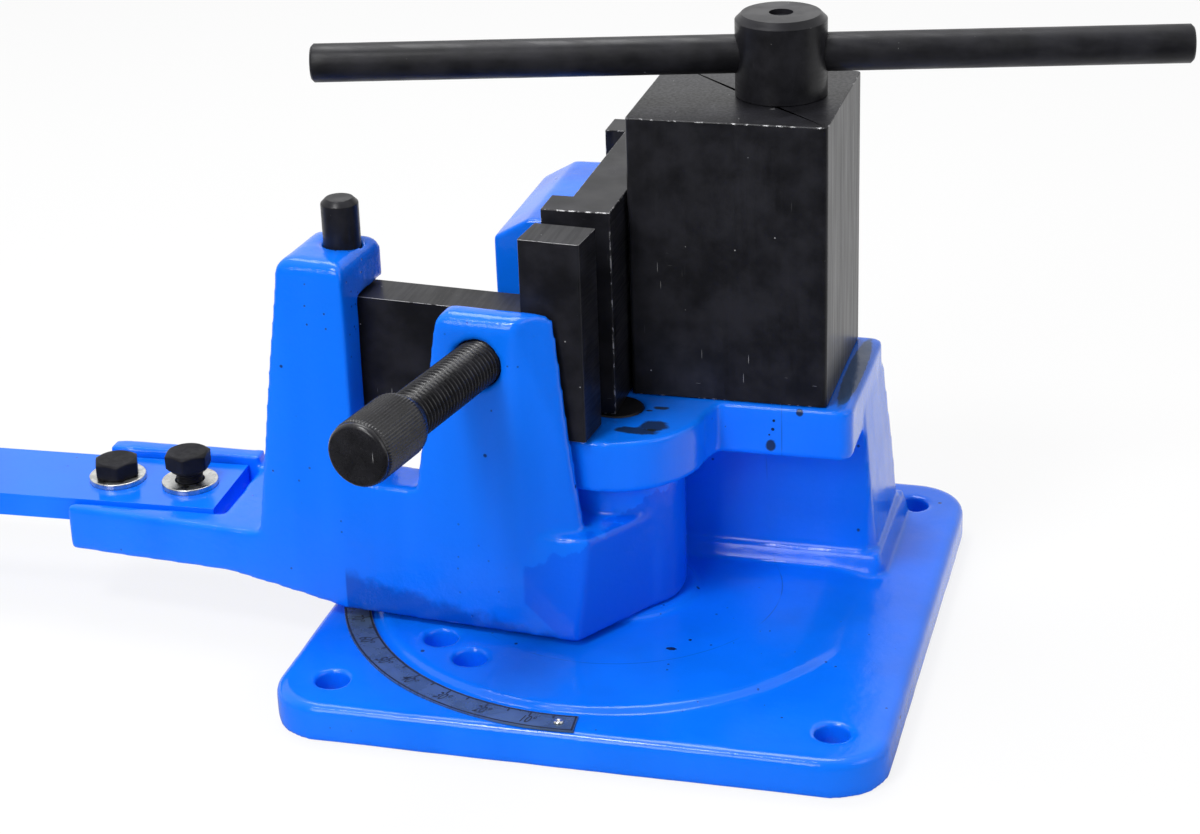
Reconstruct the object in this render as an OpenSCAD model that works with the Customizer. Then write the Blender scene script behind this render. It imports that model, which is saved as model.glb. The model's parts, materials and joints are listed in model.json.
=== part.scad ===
// Universal bar bender: a cast base with a raised clamping platform, a clamp block worked by an
// eccentric T-handle, and a swing arm with lever, bending die and die adjusting screw.
// Millimetres, +Z up, origin at the centre of the underside of the base plate, front towards -Y.

/* [Base plate] */
// Side of the square base plate
base_side = 252; // [236:1:300]
// Thickness of the base plate
base_t = 16; // [12:0.5:24]
// Corner radius of the base plate
base_corner_r = 24; // [12:1:36]
// Rounding of the upper edge of the base plate
base_edge_r = 4; // [1:0.5:8]
// Distance of the mounting holes from the sides of the base plate
mount_inset = 23; // [18:0.5:28]
// Diameter of the mounting holes
mount_hole_d = 14; // [9:0.5:18]

/* [Dial on the base] */
// Gap between the dial and the left side of the base plate
dial_edge = 0.5; // [0.2:0.1:4]
// Gap between the raised disc and the dial
disc_gap = 5; // [3.5:0.5:10]
// Height of the raised disc
disc_h = 2.4; // [1.5:0.1:4]
// Width of the sloping rim of the disc
disc_rim_w = 2; // [0.5:0.5:4]
// Distance of the fading ramp from the rim of the disc
disc_fade_at = 18; // [14:0.5:24]
// Width of the ramp that fades the disc into the plate
disc_fade_w = 16; // [8:1:18]
// Diameter of the stop pin holes
stop_hole_d = 14; // [8:0.5:16]
// Distance of the stop pin holes from the rim of the disc
stop_hole_inset = 16.5; // [11:0.5:24]
// Angle of the first stop pin hole
stop_hole_angle = -122; // [-130:1:-110]
// Angle between the stop pin holes
stop_hole_step = 14.5; // [12:0.5:20]
// Depth of the stop pin holes
stop_hole_depth = 10.4; // [6:0.2:14]
// Width of the angle scale
scale_w = 11.5; // [8:0.5:12]
// Thickness of the angle scale
scale_t = 0.8; // [0.5:0.1:1.5]
// Angle of the zero line of the scale
scale_zero_angle = -85; // [-88:0.5:-82]
// Angle that the scale spans
scale_span = 93; // [80:1:95]
// Diameter of a scale rivet head
rivet_d = 4; // [3:0.5:6]
// Height of a scale rivet head
rivet_head_h = 1; // [0.5:0.1:2]
// Diameter of a scale rivet shank
rivet_shank_d = 2; // [1:0.25:2.5]
// Angle of each rivet from the end of the scale
rivet_inset = 3.5; // [2.5:0.25:5]

/* [Pedestal and platform] */
// Front wall of the pedestal at its foot
pedestal_front = 31; // [29:0.5:36]
// Depth of the pedestal at its foot
pedestal_depth = 66; // [58:1:74]
// Left wall of the pedestal at its foot
pedestal_left = -56; // [-60:1:-40]
// Width of the pedestal at its foot
pedestal_width = 155; // [145:1:160]
// Inward lean of the pedestal walls over their height
pedestal_draft = 8; // [4:0.5:10]
// Corner radius of the pedestal
pedestal_corner_r = 13; // [10:0.5:18]
// Reach of the fillet at the pedestal foot
foot_fillet = 7; // [3:0.5:9]
// Wall thickness of the hollow pedestal
pedestal_wall = 12; // [8:0.5:14]
// Thickening of the platform over the hollow of the pedestal
roof_extra = 2; // [1:0.5:6]
// Thickness of the platform and its tongue
platform_t = 22.6; // [18:0.2:30]
// Front edge of the platform
platform_front = 5; // [3:0.5:7]
// Back edge of the platform
platform_back = 89; // [88:0.5:96]
// Left edge of the platform
platform_left = -63; // [-70:0.5:-61]
// Right edge of the platform
platform_right = 91; // [88:0.5:96]
// Corner radius of the platform
platform_corner_r = 6; // [3:0.5:10]
// Radius of the tongue over the swing arm
tongue_r = 38; // [34:0.5:39]
// Widening of the tongue towards the platform
neck_flare = 5; // [2:0.5:8]

/* [Pivot] */
// Pivot axis across the base
pivot_x = -6; // [-8:0.5:-4]
// Pivot axis along the base
pivot_y = -5; // [-7:0.5:-3]
// Diameter of the pivot pin
pivot_d = 23; // [18:0.5:28]
// Thickness of the base left under the pivot pin
pivot_floor = 4; // [2:0.5:8]
// Depth of the pivot pin below the top of the platform
pivot_set = 0.3; // [0.1:0.1:2]
// Chamfer of the pivot pin
pivot_chamfer = 0.8; // [0.2:0.1:2]
// Wall of the pivot bush
pivot_bush_wall = 3; // [2:0.5:5]
// Radius of the ring boss that carries the arm
ring_r = 32; // [28:0.5:38]
// Height of the ring boss
ring_h = 2; // [1:0.2:4]
// Thickness of the thrust washer above the arm
thrust_t = 2; // [1:0.2:4]
// Distance of the thrust washer edge from the hub edge
thrust_inset = 2; // [0:0.5:4]

/* [Fixed jaw] */
// Gap between the fixed jaw and the clamp block
jaw_gap = 1.2; // [0.6:0.1:4]
// Thickness of the jaw shank
jaw_t = 20; // [16:0.5:22]
// Reach of the hooks round the upright wall
jaw_hook = 9; // [5:0.5:12]
// Length of the front hook
jaw_front_hook = 17.5; // [12:0.5:22]
// Length of the rear hook
jaw_rear_hook = 16.5; // [12:0.5:22]
// Gap between the upright wall and the rear hook
hook_gap = 8; // [1:0.5:10]
// How far the jaw reaches in front of the clamp block
jaw_reach = 22; // [18:0.5:23]
// Height of the jaw
jaw_h = 88.5; // [80:0.5:100]
// Thickness of the upright wall behind the jaw
wall_t = 35; // [30:0.5:37]
// Length of the upright wall
wall_len = 78; // [68:1:80]
// Height of the upright wall
wall_h = 77; // [72:0.5:79]
// Width of the sloping outer edge of the upright wall
wall_slope_w = 15; // [6:0.5:18]
// Height of the sloping outer edge of the upright wall
wall_slope_h = 8.5; // [4:0.5:12]
// Diameter of the jaw screws
jaw_screw_d = 10; // [6:0.5:12]
// Diameter of the jaw screw heads
jaw_screw_head_d = 16; // [14:0.5:20]
// Height of the jaw screw heads
jaw_screw_head_h = 10; // [6:0.5:14]
// Width across flats of the jaw screw sockets
jaw_screw_key = 8; // [5:0.5:10]
// Depth of the jaw screws in the jaw
jaw_screw_deep = 12; // [8:0.5:14]
// Distance between the jaw screws
jaw_screw_spacing = 40; // [30:1:44]

/* [Clamp block] */
// Left face of the clamp block
block_left = -2.8; // [-4:0.2:-1]
// Front face of the clamp block
block_front = 7.6; // [7:0.2:9]
// Width of the clamp block
block_w = 83; // [76:0.5:86]
// Depth of the clamp block
block_d = 79; // [74:0.5:80]
// Height of the clamp block
block_h = 121; // [110:0.5:140]
// Radius of the upright edges of the clamp block
block_edge_r = 2; // [0.5:0.5:4]

/* [Clamp handle] */
// Shaft axis from the left face of the clamp block
shaft_from_left = 56; // [50:0.5:58]
// Shaft axis from the front face of the clamp block
shaft_from_front = 42.8; // [36:0.5:46]
// Throw of the eccentric
eccentric_throw = 4; // [2:0.25:4.25]
// Diameter of the eccentric
eccentric_d = 28; // [27:0.5:30]
// Diameter of the lower shaft journal
journal_d = 18; // [14:0.5:18]
// Length of the lower shaft journal
journal_len = 15; // [10:0.5:16]
// Wall of the journal bush
journal_bush_wall = 3; // [2:0.5:5]
// Diameter of the handle hub
hub_d = 38; // [36:0.5:44]
// Height of the handle hub
hub_h = 34; // [26:0.5:42]
// Chamfer round the top of the handle hub
hub_chamfer = 2.7; // [1:0.1:4]
// Diameter of the handle bar
handle_d = 16; // [10:0.5:18]
// Length of the handle bar
handle_len = 361; // [240:1:420]
// Distance of the hub from the middle of the handle bar
handle_offset = 13; // [0:0.5:40]
// Angle of the handle bar to the front of the base
handle_angle = 13.3; // [0:0.5:30]
// Chamfer on the ends of the handle bar
handle_chamfer = 1.2; // [0.4:0.1:2]
// Diameter of the handle grub screw
grub_d = 10; // [6:0.5:12]
// Depth of the grub screw below the hub top
grub_recess = 2; // [0.5:0.1:3]
// Width across flats of the grub screw socket
grub_key = 5; // [3:0.5:5.5]
// Angle of handle turn that opens the clamp fully
handle_turn = 60; // [30:1:60]

/* [Swing arm] */
// Angle of the front face of the arm to the front of the base
arm_rest_angle = -5; // [-7:0.5:-4]
// Distance of the front face from the pivot
arm_front = 57.5; // [56:0.5:62]
// Front corner of the arm past the pivot
arm_nose = 1; // [0:0.5:6]
// Depth of the slope on the front corner of the arm
nose_slope = 7; // [3:0.5:9]
// Start of that slope left of the right flank
nose_inset = 12; // [4:0.5:16]
// Height of the upright corner that stays below that slope
nose_foot = 5; // [3:0.5:12]
// Radius of the arm hub
arm_hub_r = 28; // [24:0.5:29]
// Height of the arm hub
arm_hub_h = 57.4; // [54:0.2:62]
// Height of the deck beside the hub
deck_h = 44.5; // [38:0.5:48]
// Height of the low part of the arm
arm_low_h = 30.5; // [28:0.5:34]
// Rise of the underside towards the lever
arm_rise = 9.5; // [5:0.5:11]
// Length of the slope by which the underside rises
arm_slope_len = 53; // [40:1:64]
// Start of the slope from the left edge of the left post
arm_slope_at = 20; // [10:1:30]
// Length of the ramp between the deck and the low part
deck_ramp = 20; // [10:1:30]
// Thickness of the front web
web_t = 22.5; // [18:0.5:24]
// Rise of the front web over the arm hub
web_rise = 2.9; // [1:0.1:8]

/* [Posts] */
// Left edge of the left post at its top
left_post_at = -124; // [-128:0.5:-122]
// Width of the left post at its top
left_post_w = 29; // [27:0.5:32]
// Depth of the left post
left_post_d = 40; // [38:0.5:46]
// Rise of the left post over the die carrier
left_post_rise = 19.5; // [12:0.5:30]
// Spread of the left side of the left post towards its foot
left_post_spread = 20.5; // [8:0.5:24]
// Spread of the back of the left post towards its foot
left_post_back_spread = 2; // [0.5:0.5:6]
// Left edge of the right post at its top
right_post_at = -55; // [-57:0.5:-51]
// Width of the right post at its top
right_post_w = 32; // [29:0.5:35]
// Rise of the right post over the die carrier
right_post_rise = 3.5; // [0:0.5:12]
// Spread of the left side of the right post towards its foot
right_post_spread = 20; // [8:0.5:22]
// Spread of the right flank of the right post towards its foot
right_post_lean = 12; // [4:0.5:15]
// Reach of the right flank behind the front face at the top of the right post
right_post_flank = 13; // [8:0.5:16]
// Spread of the back of the right post towards its foot
right_post_back_spread = 3; // [1:0.5:3.5]
// Radius of the rounded post tops
post_r = 6; // [3:0.5:7]

/* [Lever] */
// Angle of the lever to the front face of the arm
lever_skew = 7; // [5:0.5:8]
// Width of the lever bar
lever_w = 45; // [36:0.5:46]
// Thickness of the lever bar
lever_t = 10.5; // [8:0.5:14]
// Length of the lever bar
lever_len = 560; // [300:5:900]
// Distance of the lever root from the pivot
lever_root = 175; // [172:0.5:180]
// Length of the lever channel
channel_len = 66; // [62:0.5:74]
// Gap between the lever root and the end of its channel
lever_end_gap = 5; // [1:0.5:8]
// Depth of the lever channel
channel_depth = 9.5; // [6:0.5:11]
// Thickness of the rear rail
rear_rail_t = 9; // [6:0.5:12]
// Height of the rear rail over the front rail
rear_rail_rise = 5; // [2:0.5:8]
// Diameter of the lever bolts
bolt_d = 12; // [8:0.5:14]
// Width across flats of the lever bolt heads
bolt_head_af = 18; // [15:0.5:22]
// Height of the lever bolt heads
bolt_head_h = 7.5; // [5:0.5:10]
// Width of the chamfer round the lever bolt heads
bolt_head_edge = 0.7; // [0.3:0.1:1.5]
// Depth of the lever bolts in the arm
bolt_grip = 9; // [7.5:0.5:11]
// Distance between the lever bolts
bolt_spacing = 34; // [28:0.5:36]
// Distance of the inner bolt from the lever root
bolt_inset = 19; // [16:0.5:22]
// Height by which the inner bolt is unscrewed
bolt_slack = 6; // [0:0.5:7]
// Diameter of the lever washers
washer_d = 25; // [22:0.5:28]
// Thickness of the lever washers
washer_t = 2.5; // [1.5:0.25:4]

/* [Die and adjusting screw] */
// Left end of the bending die from the pivot
die_at = -25; // [-27:0.5:-23]
// Width of the bending die
die_w = 26; // [22:0.5:28]
// Thickness of the die and its carrier
die_t = 20; // [16:0.5:20]
// Gap between the back of the die and the front of the fixed jaw
die_gap = 11.6; // [11.1:0.1:12.6]
// Radius of the upright edges of the die
die_edge_r = 1; // [0.5:0.25:3]
// Height of the bending die
die_h = 85; // [70:0.5:92]
// Height of the die carrier
carrier_h = 53.5; // [48:0.5:55]
// Gap between the die and the platform
die_lift = 1; // [0.5:0.1:1.4]
// Distance of the hinge pin from the left edge of the left post
hinge_inset = 18; // [16:0.5:19]
// Diameter of the hinge pin
hinge_d = 15.6; // [10:0.2:16]
// Length of hinge pin above the left post
hinge_proud = 19; // [8:0.5:26]
// Length of hinge pin below the die carrier
hinge_root = 15; // [8:0.5:20]
// Chamfer of the hinge pin
hinge_chamfer = 2; // [0.5:0.25:3]
// Diameter of the die dowels
dowel_d = 8; // [5:0.5:10]
// Length of the die dowels
dowel_len = 30; // [20:0.5:36]
// Distance between the die dowels
dowel_spacing = 24; // [18:0.5:30]
// Adjusting screw from the left edge of the right post
screw_inset = 16.5; // [15:0.5:18]
// Distance of the adjusting screw below the top of the die carrier
screw_drop = 17; // [13:0.5:20]
// Sideways lean of the adjusting screw
screw_skew = 6; // [0:0.5:8]
// Diameter of the adjusting screw thread
screw_d = 20; // [14:0.5:20]
// Length of screw thread in front of the post
screw_reach = 57; // [40:1:80]
// Diameter of the knurled screw head
screw_head_d = 26.5; // [23:0.5:30]
// Length of the knurled screw head
screw_head_len = 36; // [24:1:44]
// Chamfer round the outer end of the screw head
screw_head_chamfer = 1; // [0.5:0.25:3]
// Length of the taper from the screw head to the thread
screw_head_taper = 4; // [2:0.5:8]
// Step between the screw thread and its foot
foot_step = 1; // [0.5:0.25:2]
// Length of the screw foot
foot_len = 7; // [6:0.5:9]
// Radius of the dome on the screw foot
foot_dome_r = 11.2; // [9:0.2:20]
// Diameter of the spigot on which the foot turns
spigot_d = 7; // [4:0.5:7]
// Length of the spigot
spigot_len = 3; // [2:0.25:4]

/* [Clearances] */
// Gap between pieces that move past each other
run_gap = 0.3; // [0.2:0.05:0.5]
// Radial clearance of a running fit
fit_clear = 0.05; // [0.02:0.01:0.09]
// Radial clearance of the eccentric in the clamp block
cam_clear = 0.7; // [0.6:0.05:1]
// Side clearance of the lever in its channel
lever_clear = 0.5; // [0.3:0.1:1]
// Clearance of the carrier in its slot and behind the right post
carrier_gap = 1.5; // [1.2:0.1:2]
// Gap between the tongue and the right post
tongue_gap = 0.9; // [0.6:0.1:2]

/* [Hidden] */
$fn = 64;
corner_steps = 5;
cut = 1;

// Dial
mount_spacing = base_side - 2 * mount_inset;
scale_inner_r = base_side / 2 + pivot_x - dial_edge - scale_w;
disc_r = scale_inner_r - disc_gap;
stop_hole_pitch_r = disc_r - stop_hole_inset;

// Levels
disc_top = base_t + disc_h;
ring_top = disc_top + ring_h;
arm_z = ring_top + run_gap;
arm_top = arm_z + arm_hub_h;
platform_z = arm_top + thrust_t + run_gap;
platform_top = platform_z + platform_t;
block_z = platform_top + run_gap;
block_top = block_z + block_h;
hub_z = block_top + run_gap;
handle_z = hub_z + hub_h / 2;
web_top = arm_top + web_rise;
deck_top = arm_z + deck_h;
rail_top = arm_z + arm_low_h;
floor_top = rail_top - channel_depth;
lever_top = floor_top + lever_t;
die_z = platform_top + die_lift;
carrier_top = die_z + carrier_h;
screw_z = carrier_top - screw_drop;
left_post_top = carrier_top + left_post_rise;
right_post_top = carrier_top + right_post_rise;

// Places on the platform
jaw_right = block_left - jaw_gap;
jaw_left = jaw_right - jaw_t;
jaw_front = block_front - jaw_reach;
jaw_len = jaw_front_hook + wall_len + hook_gap + jaw_rear_hook;
wall_front = jaw_front + jaw_front_hook;
wall_left = jaw_left - wall_t;
jaw_mid_z = platform_top + jaw_h / 2;
jaw_screw_y = wall_front + wall_len / 2;
shaft_x = block_left + shaft_from_left;
shaft_y = block_front + shaft_from_front;
journal_bush_r = journal_d / 2 + fit_clear + journal_bush_wall;
cavity_top = platform_z - roof_extra;
shaft_low = block_z - journal_len;
journal_floor = shaft_low - run_gap;
slot_low = eccentric_throw * cos(handle_turn);

// Places on the arm
die_back = pivot_y - jaw_front + die_gap;
die_v = -die_back - die_t / 2;
hinge_u = left_post_at + hinge_inset;
carrier_end_r = die_t / 2;
post_root = 4;
post_foot_z = floor_top - post_root;
right_post_d = arm_front - die_back - die_t - carrier_gap;
hinge_low = die_z - hinge_root;
screw_u = right_post_at + screw_inset;
screw_v = -arm_front;
carrier_front = die_v - die_t / 2;
foot_tip = (carrier_front - screw_v) / cos(screw_skew) - run_gap;
foot_r = screw_d / 2 - foot_step;
screw_bore_r = screw_d / 2 + run_gap;
rail_end = lever_root + channel_len;
lever_mid = lever_w / 2 + lever_clear;
channel_root = lever_root - lever_end_gap;
bolt_low = floor_top - bolt_grip;

// Where the line from point p touches a circle of radius r round the origin, on side +1 or -1
function touch(p, r, side) =
    let (a = atan2(p[1], p[0]) + side * acos(r / norm(p)))
    [r * cos(a), r * sin(a)];

// A point given along and across the lever, in the arm's own directions
function on_lever(along, across) =
    [-along * cos(lever_skew) - across * sin(lever_skew),
     -along * sin(lever_skew) + across * cos(lever_skew)];

// Places that pieces share
module on_pivot(z) {
    translate([pivot_x, pivot_y, z]) children();
}

module on_shaft(z) {
    translate([shaft_x, shaft_y, z]) children();
}

module in_arm() {
    on_pivot(0) rotate([0, 0, arm_rest_angle]) children();
}

module in_lever() {
    in_arm() rotate([0, 0, lever_skew]) children();
}

module at_bolt(i) {
    in_lever() translate([-lever_root - bolt_inset - (i - 1) * bolt_spacing, 0, 0]) children();
}

// The screw's own directions: +Z from the front of the post towards the carrier
module screw_axis() {
    translate([screw_u, screw_v, screw_z]) rotate([0, 0, -screw_skew]) rotate([-90, 0, 0]) children();
}

module at_jaw_screw(i) {
    translate([wall_left, jaw_screw_y + (i - 1.5) * jaw_screw_spacing, jaw_mid_z - wall_slope_h])
        rotate([0, 90, 0]) children();
}

module at_rivet(i) {
    turn = scale_zero_angle - (i == 1 ? rivet_inset : scale_span - rivet_inset);
    on_pivot(base_t + scale_t) rotate([0, 0, turn])
        translate([scale_inner_r + scale_w / 2, 0, 0]) children();
}

// Shapes that repeat
module rounded_square(size, r) {
    translate([r, 0]) square([size[0] - 2 * r, size[1]]);
    translate([0, r]) square([size[0], size[1] - 2 * r]);
    for (x = [r, size[0] - r], y = [r, size[1] - r]) translate([x, y]) circle(r);
}

module hex(af, h) {
    cylinder(d = af / cos(30), h = h, $fn = 6);
}

module chamfered_rod(d, len, c) {
    rotate_extrude()
        polygon([[0, 0], [d / 2 - c, 0], [d / 2, c], [d / 2, len - c], [d / 2 - c, len], [0, len]]);
}

module tube(r_out, r_in, h) {
    difference() {
        cylinder(r = r_out, h = h);
        translate([0, 0, -cut]) cylinder(r = r_in, h = h + 2 * cut);
    }
}

// An outline whose corners are rounded: one radius for each point, with 0 for a sharp corner
function unit(v) = v / norm(v);
function corner(p, before, after, r) =
    let (a = unit(before - p), b = unit(after - p), half = acos(a * b) / 2)
    let (c = p + unit(a + b) * r / sin(half))
    let (s = p + a * r / tan(half) - c, e = p + b * r / tan(half) - c, w = 180 - 2 * half)
    r == 0 ? [p] : [for (t = [0:1 / corner_steps:1]) c + (s * sin((1 - t) * w) + e * sin(t * w)) / sin(w)];
function rounded(points, radii) =
    let (n = len(points))
    [for (i = [0:n - 1]) each corner(points[i], points[(i + n - 1) % n], points[(i + 1) % n], radii[i])];

// A profile seen from the front, drawn from y0 to y1
module front_profile(points, radii, y0, y1) {
    translate([0, y1, 0]) rotate([90, 0, 0]) linear_extrude(y1 - y0) polygon(rounded(points, radii));
}

// A profile seen from the side, drawn from x0 to x1
module side_profile(points, radii, x0, x1) {
    translate([x0, 0, 0]) rotate([90, 0, 90]) linear_extrude(x1 - x0) polygon(rounded(points, radii));
}

// A box with round upright corners whose four walls lean in by draft between z0 and z1
module drafted_box(x, y, w, d, r, draft, z0, z1) {
    sharp = [0, 0, 0, 0];
    intersection() {
        translate([x, y, z0]) linear_extrude(z1 - z0) rounded_square([w, d], r);
        front_profile([[x, z0], [x + w, z0], [x + w - draft, z1], [x + draft, z1]], sharp,
                      y - cut, y + d + cut);
        side_profile([[y, z0], [y + d, z0], [y + d - draft, z1], [y + draft, z1]], sharp,
                     x - cut, x + w + cut);
    }
}

// A plate's end view with round upper edges
module rounded_top(w, h, r) {
    square([w, h - r]);
    translate([r, 0]) square([w - 2 * r, h]);
    for (x = [r, w - r]) translate([x, h - r]) circle(r);
}

// Base casting
module base_plate() {
    half = base_side / 2;
    reach = half - base_corner_r;
    for (turn = [0, 90]) rotate([0, 0, turn]) translate([-half, reach, 0]) rotate([90, 0, 0])
        linear_extrude(2 * reach) rounded_top(base_side, base_t, base_edge_r);
    for (i = [-1, 1], j = [-1, 1]) translate([i * reach, j * reach, 0]) rotate_extrude() {
        square([base_corner_r, base_t - base_edge_r]);
        square([base_corner_r - base_edge_r, base_t]);
        translate([base_corner_r - base_edge_r, base_t - base_edge_r]) intersection() {
            circle(base_edge_r);
            square(base_edge_r);
        }
    }
}

// The disc has a sloping rim, and to the right it fades into the plate over a long ramp
module raised_disc() {
    low = base_t - cut;
    right = pivot_x + disc_r - disc_fade_at;
    intersection() {
        on_pivot(low) rotate_extrude()
            polygon([[0, 0], [disc_r + disc_rim_w, 0], [disc_r + disc_rim_w, cut],
                     [disc_r, cut + disc_h], [0, cut + disc_h]]);
        front_profile([[-base_side, low - cut], [right + disc_fade_w, low - cut],
                       [right + disc_fade_w, base_t], [right, disc_top], [right, disc_top + cut],
                       [-base_side, disc_top + cut]],
                      [0, 0, 0, 0, 0, 0], -base_side, base_side);
    }
    on_pivot(low) cylinder(r = ring_r, h = cut + disc_h + ring_h);
}

module pedestal() {
    drafted_box(pedestal_left, pedestal_front, pedestal_width, pedestal_depth, pedestal_corner_r,
                pedestal_draft, base_t / 2, platform_z + platform_t / 2);
    drafted_box(pedestal_left - foot_fillet, pedestal_front - foot_fillet, pedestal_width + 2 * foot_fillet,
                pedestal_depth + 2 * foot_fillet, pedestal_corner_r + foot_fillet, foot_fillet,
                base_t / 2, disc_top + foot_fillet);
}

module pedestal_hollow() {
    drafted_box(pedestal_left + pedestal_wall, pedestal_front + pedestal_wall,
                pedestal_width - 2 * pedestal_wall, pedestal_depth - 2 * pedestal_wall,
                pedestal_corner_r - pedestal_wall / 2, pedestal_draft, -cut, cavity_top);
}

// The platform, with the round tongue that reaches over the swing arm to the pivot pin
module platform() {
    root = platform_front - pivot_y + platform_corner_r;
    translate([0, 0, platform_z]) linear_extrude(platform_t) {
        translate([platform_left, platform_front])
            rounded_square([platform_right - platform_left, platform_back - platform_front],
                           platform_corner_r);
        translate([pivot_x, pivot_y]) {
            circle(tongue_r);
            polygon([[-tongue_r, 0], [tongue_r, 0], [tongue_r + neck_flare, root],
                     [-tongue_r - neck_flare, root]]);
        }
    }
}

module upright_wall() {
    top = platform_top + wall_h;
    difference() {
        translate([0, wall_front + wall_len, 0]) rotate([90, 0, 0]) linear_extrude(wall_len)
            polygon([[wall_left, platform_top - platform_t / 2], [jaw_left, platform_top - platform_t / 2],
                     [jaw_left, top], [wall_left + wall_slope_w, top], [wall_left, top - wall_slope_h]]);
        for (i = [1, 2]) at_jaw_screw(i) {
            translate([0, 0, -cut]) cylinder(d = jaw_screw_head_d + 2 * run_gap, h = jaw_screw_head_h + cut);
            cylinder(r = jaw_screw_d / 2 + run_gap, h = wall_t + cut);
        }
    }
}

module base_casting() {
    color("dodgerblue") difference() {
        union() {
            base_plate();
            raised_disc();
            pedestal();
            platform();
            upright_wall();
        }
        for (i = [-1, 1], j = [-1, 1])
            translate([i * mount_spacing / 2, j * mount_spacing / 2, -cut])
                cylinder(d = mount_hole_d, h = base_t + 2 * cut);
        for (i = [0, 1]) on_pivot(disc_top - stop_hole_depth)
            rotate([0, 0, stop_hole_angle - i * stop_hole_step]) translate([stop_hole_pitch_r, 0, 0])
                cylinder(d = stop_hole_d, h = stop_hole_depth + cut);
        on_pivot(pivot_floor) cylinder(d = pivot_d, h = platform_top);
        on_shaft(journal_floor) cylinder(r = journal_bush_r, h = platform_t);
        pedestal_hollow();
    }
}

// Dial
module angle_scale() {
    color("slategray") difference() {
        on_pivot(base_t) rotate([0, 0, scale_zero_angle - scale_span]) rotate_extrude(angle = scale_span)
            translate([scale_inner_r, 0]) square([scale_w, scale_t]);
        for (i = [1, 2]) at_rivet(i) translate([0, 0, -scale_t - cut])
            cylinder(d = rivet_shank_d, h = scale_t + 2 * cut);
    }
}

module scale_rivet(i) {
    color("silver") at_rivet(i) {
        translate([0, 0, -scale_t]) cylinder(d = rivet_shank_d, h = scale_t + rivet_head_h / 2);
        rotate_extrude() polygon([[0, 0], [rivet_d / 2, 0], [rivet_d / 3, rivet_head_h], [0, rivet_head_h]]);
    }
}

// Pivot
module pivot_pin() {
    color("dimgray") on_pivot(pivot_floor)
        chamfered_rod(pivot_d, platform_top - pivot_set - pivot_floor, pivot_chamfer);
}

module pivot_bush() {
    color("darkgoldenrod") on_pivot(arm_z)
        tube(pivot_d / 2 + fit_clear + pivot_bush_wall, pivot_d / 2 + fit_clear, arm_hub_h);
}

module thrust_washer() {
    color("silver") on_pivot(arm_top) tube(arm_hub_r - thrust_inset, pivot_d / 2 + run_gap, thrust_t);
}

// Fixed jaw
module fixed_jaw() {
    color("dimgray") difference() {
        translate([0, 0, platform_top]) linear_extrude(jaw_h) {
            translate([jaw_left, jaw_front]) square([jaw_t, jaw_len]);
            translate([jaw_left - jaw_hook, jaw_front]) square([jaw_hook + cut, jaw_front_hook]);
            translate([jaw_left - jaw_hook, jaw_front + jaw_len - jaw_rear_hook])
                square([jaw_hook + cut, jaw_rear_hook]);
        }
        for (i = [1, 2]) at_jaw_screw(i) translate([0, 0, wall_t - cut])
            cylinder(d = jaw_screw_d, h = jaw_screw_deep + cut);
    }
}

module jaw_screw(i) {
    color("dimgray") at_jaw_screw(i) difference() {
        union() {
            cylinder(d = jaw_screw_head_d, h = jaw_screw_head_h);
            cylinder(d = jaw_screw_d, h = wall_t + jaw_screw_deep);
        }
        translate([0, 0, -cut]) hex(jaw_screw_key, jaw_screw_head_h / 2 + cut);
    }
}

// Clamp block and handle
module clamp_block() {
    bore_r = eccentric_d / 2 + cam_clear;
    color("dimgray") difference() {
        translate([block_left, block_front, block_z]) linear_extrude(block_h)
            rounded_square([block_w, block_d], block_edge_r);
        on_shaft(block_z - cut) {
            for (y = [slot_low, eccentric_throw]) translate([0, y, 0])
                cylinder(r = bore_r, h = block_h + 2 * cut);
            translate([-bore_r, slot_low, 0])
                cube([2 * bore_r, eccentric_throw - slot_low, block_h + 2 * cut]);
        }
    }
}

module cam_shaft() {
    color("dimgray") difference() {
        union() {
            on_shaft(hub_z) rotate_extrude()
                polygon([[0, 0], [hub_d / 2, 0], [hub_d / 2, hub_h - hub_chamfer],
                         [hub_d / 2 - hub_chamfer, hub_h], [0, hub_h]]);
            on_shaft(block_z) translate([0, eccentric_throw, 0])
                cylinder(d = eccentric_d, h = block_h + run_gap + cut);
            on_shaft(shaft_low) cylinder(d = journal_d, h = block_z - shaft_low + cut);
        }
        on_shaft(handle_z) rotate([0, 0, handle_angle]) rotate([0, 90, 0])
            cylinder(d = handle_d, h = 2 * hub_d, center = true);
        on_shaft(handle_z) cylinder(d = grub_d, h = hub_h);
    }
}

module cam_bush() {
    color("darkgoldenrod") on_shaft(journal_floor)
        tube(journal_bush_r, journal_d / 2 + fit_clear, platform_top - journal_floor);
}

module handle_bar() {
    color("dimgray") on_shaft(handle_z) rotate([0, 0, handle_angle])
        translate([-handle_len / 2 - handle_offset, 0, 0]) rotate([0, 90, 0])
            chamfered_rod(handle_d, handle_len, handle_chamfer);
}

module handle_grub() {
    len = hub_h / 2 - handle_d / 2 - grub_recess;
    color("dimgray") on_shaft(handle_z + handle_d / 2) difference() {
        cylinder(d = grub_d, h = len);
        translate([0, 0, len / 2]) hex(grub_key, len);
    }
}

// Swing arm
module arm_plan() {
    front_right = [arm_nose, -arm_front];
    rear_corner = on_lever(channel_root, lever_mid + rear_rail_t);
    rear_end = on_lever(rail_end, lever_mid + rear_rail_t);
    front_end = [-rail_end * cos(lever_skew) + (arm_front - rail_end * sin(lever_skew)) * tan(lever_skew),
                 -arm_front];
    polygon([front_end, front_right, touch(front_right, arm_hub_r - cut, 1),
             touch(rear_corner, arm_hub_r - cut, -1), rear_corner, rear_end]);
}

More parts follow.
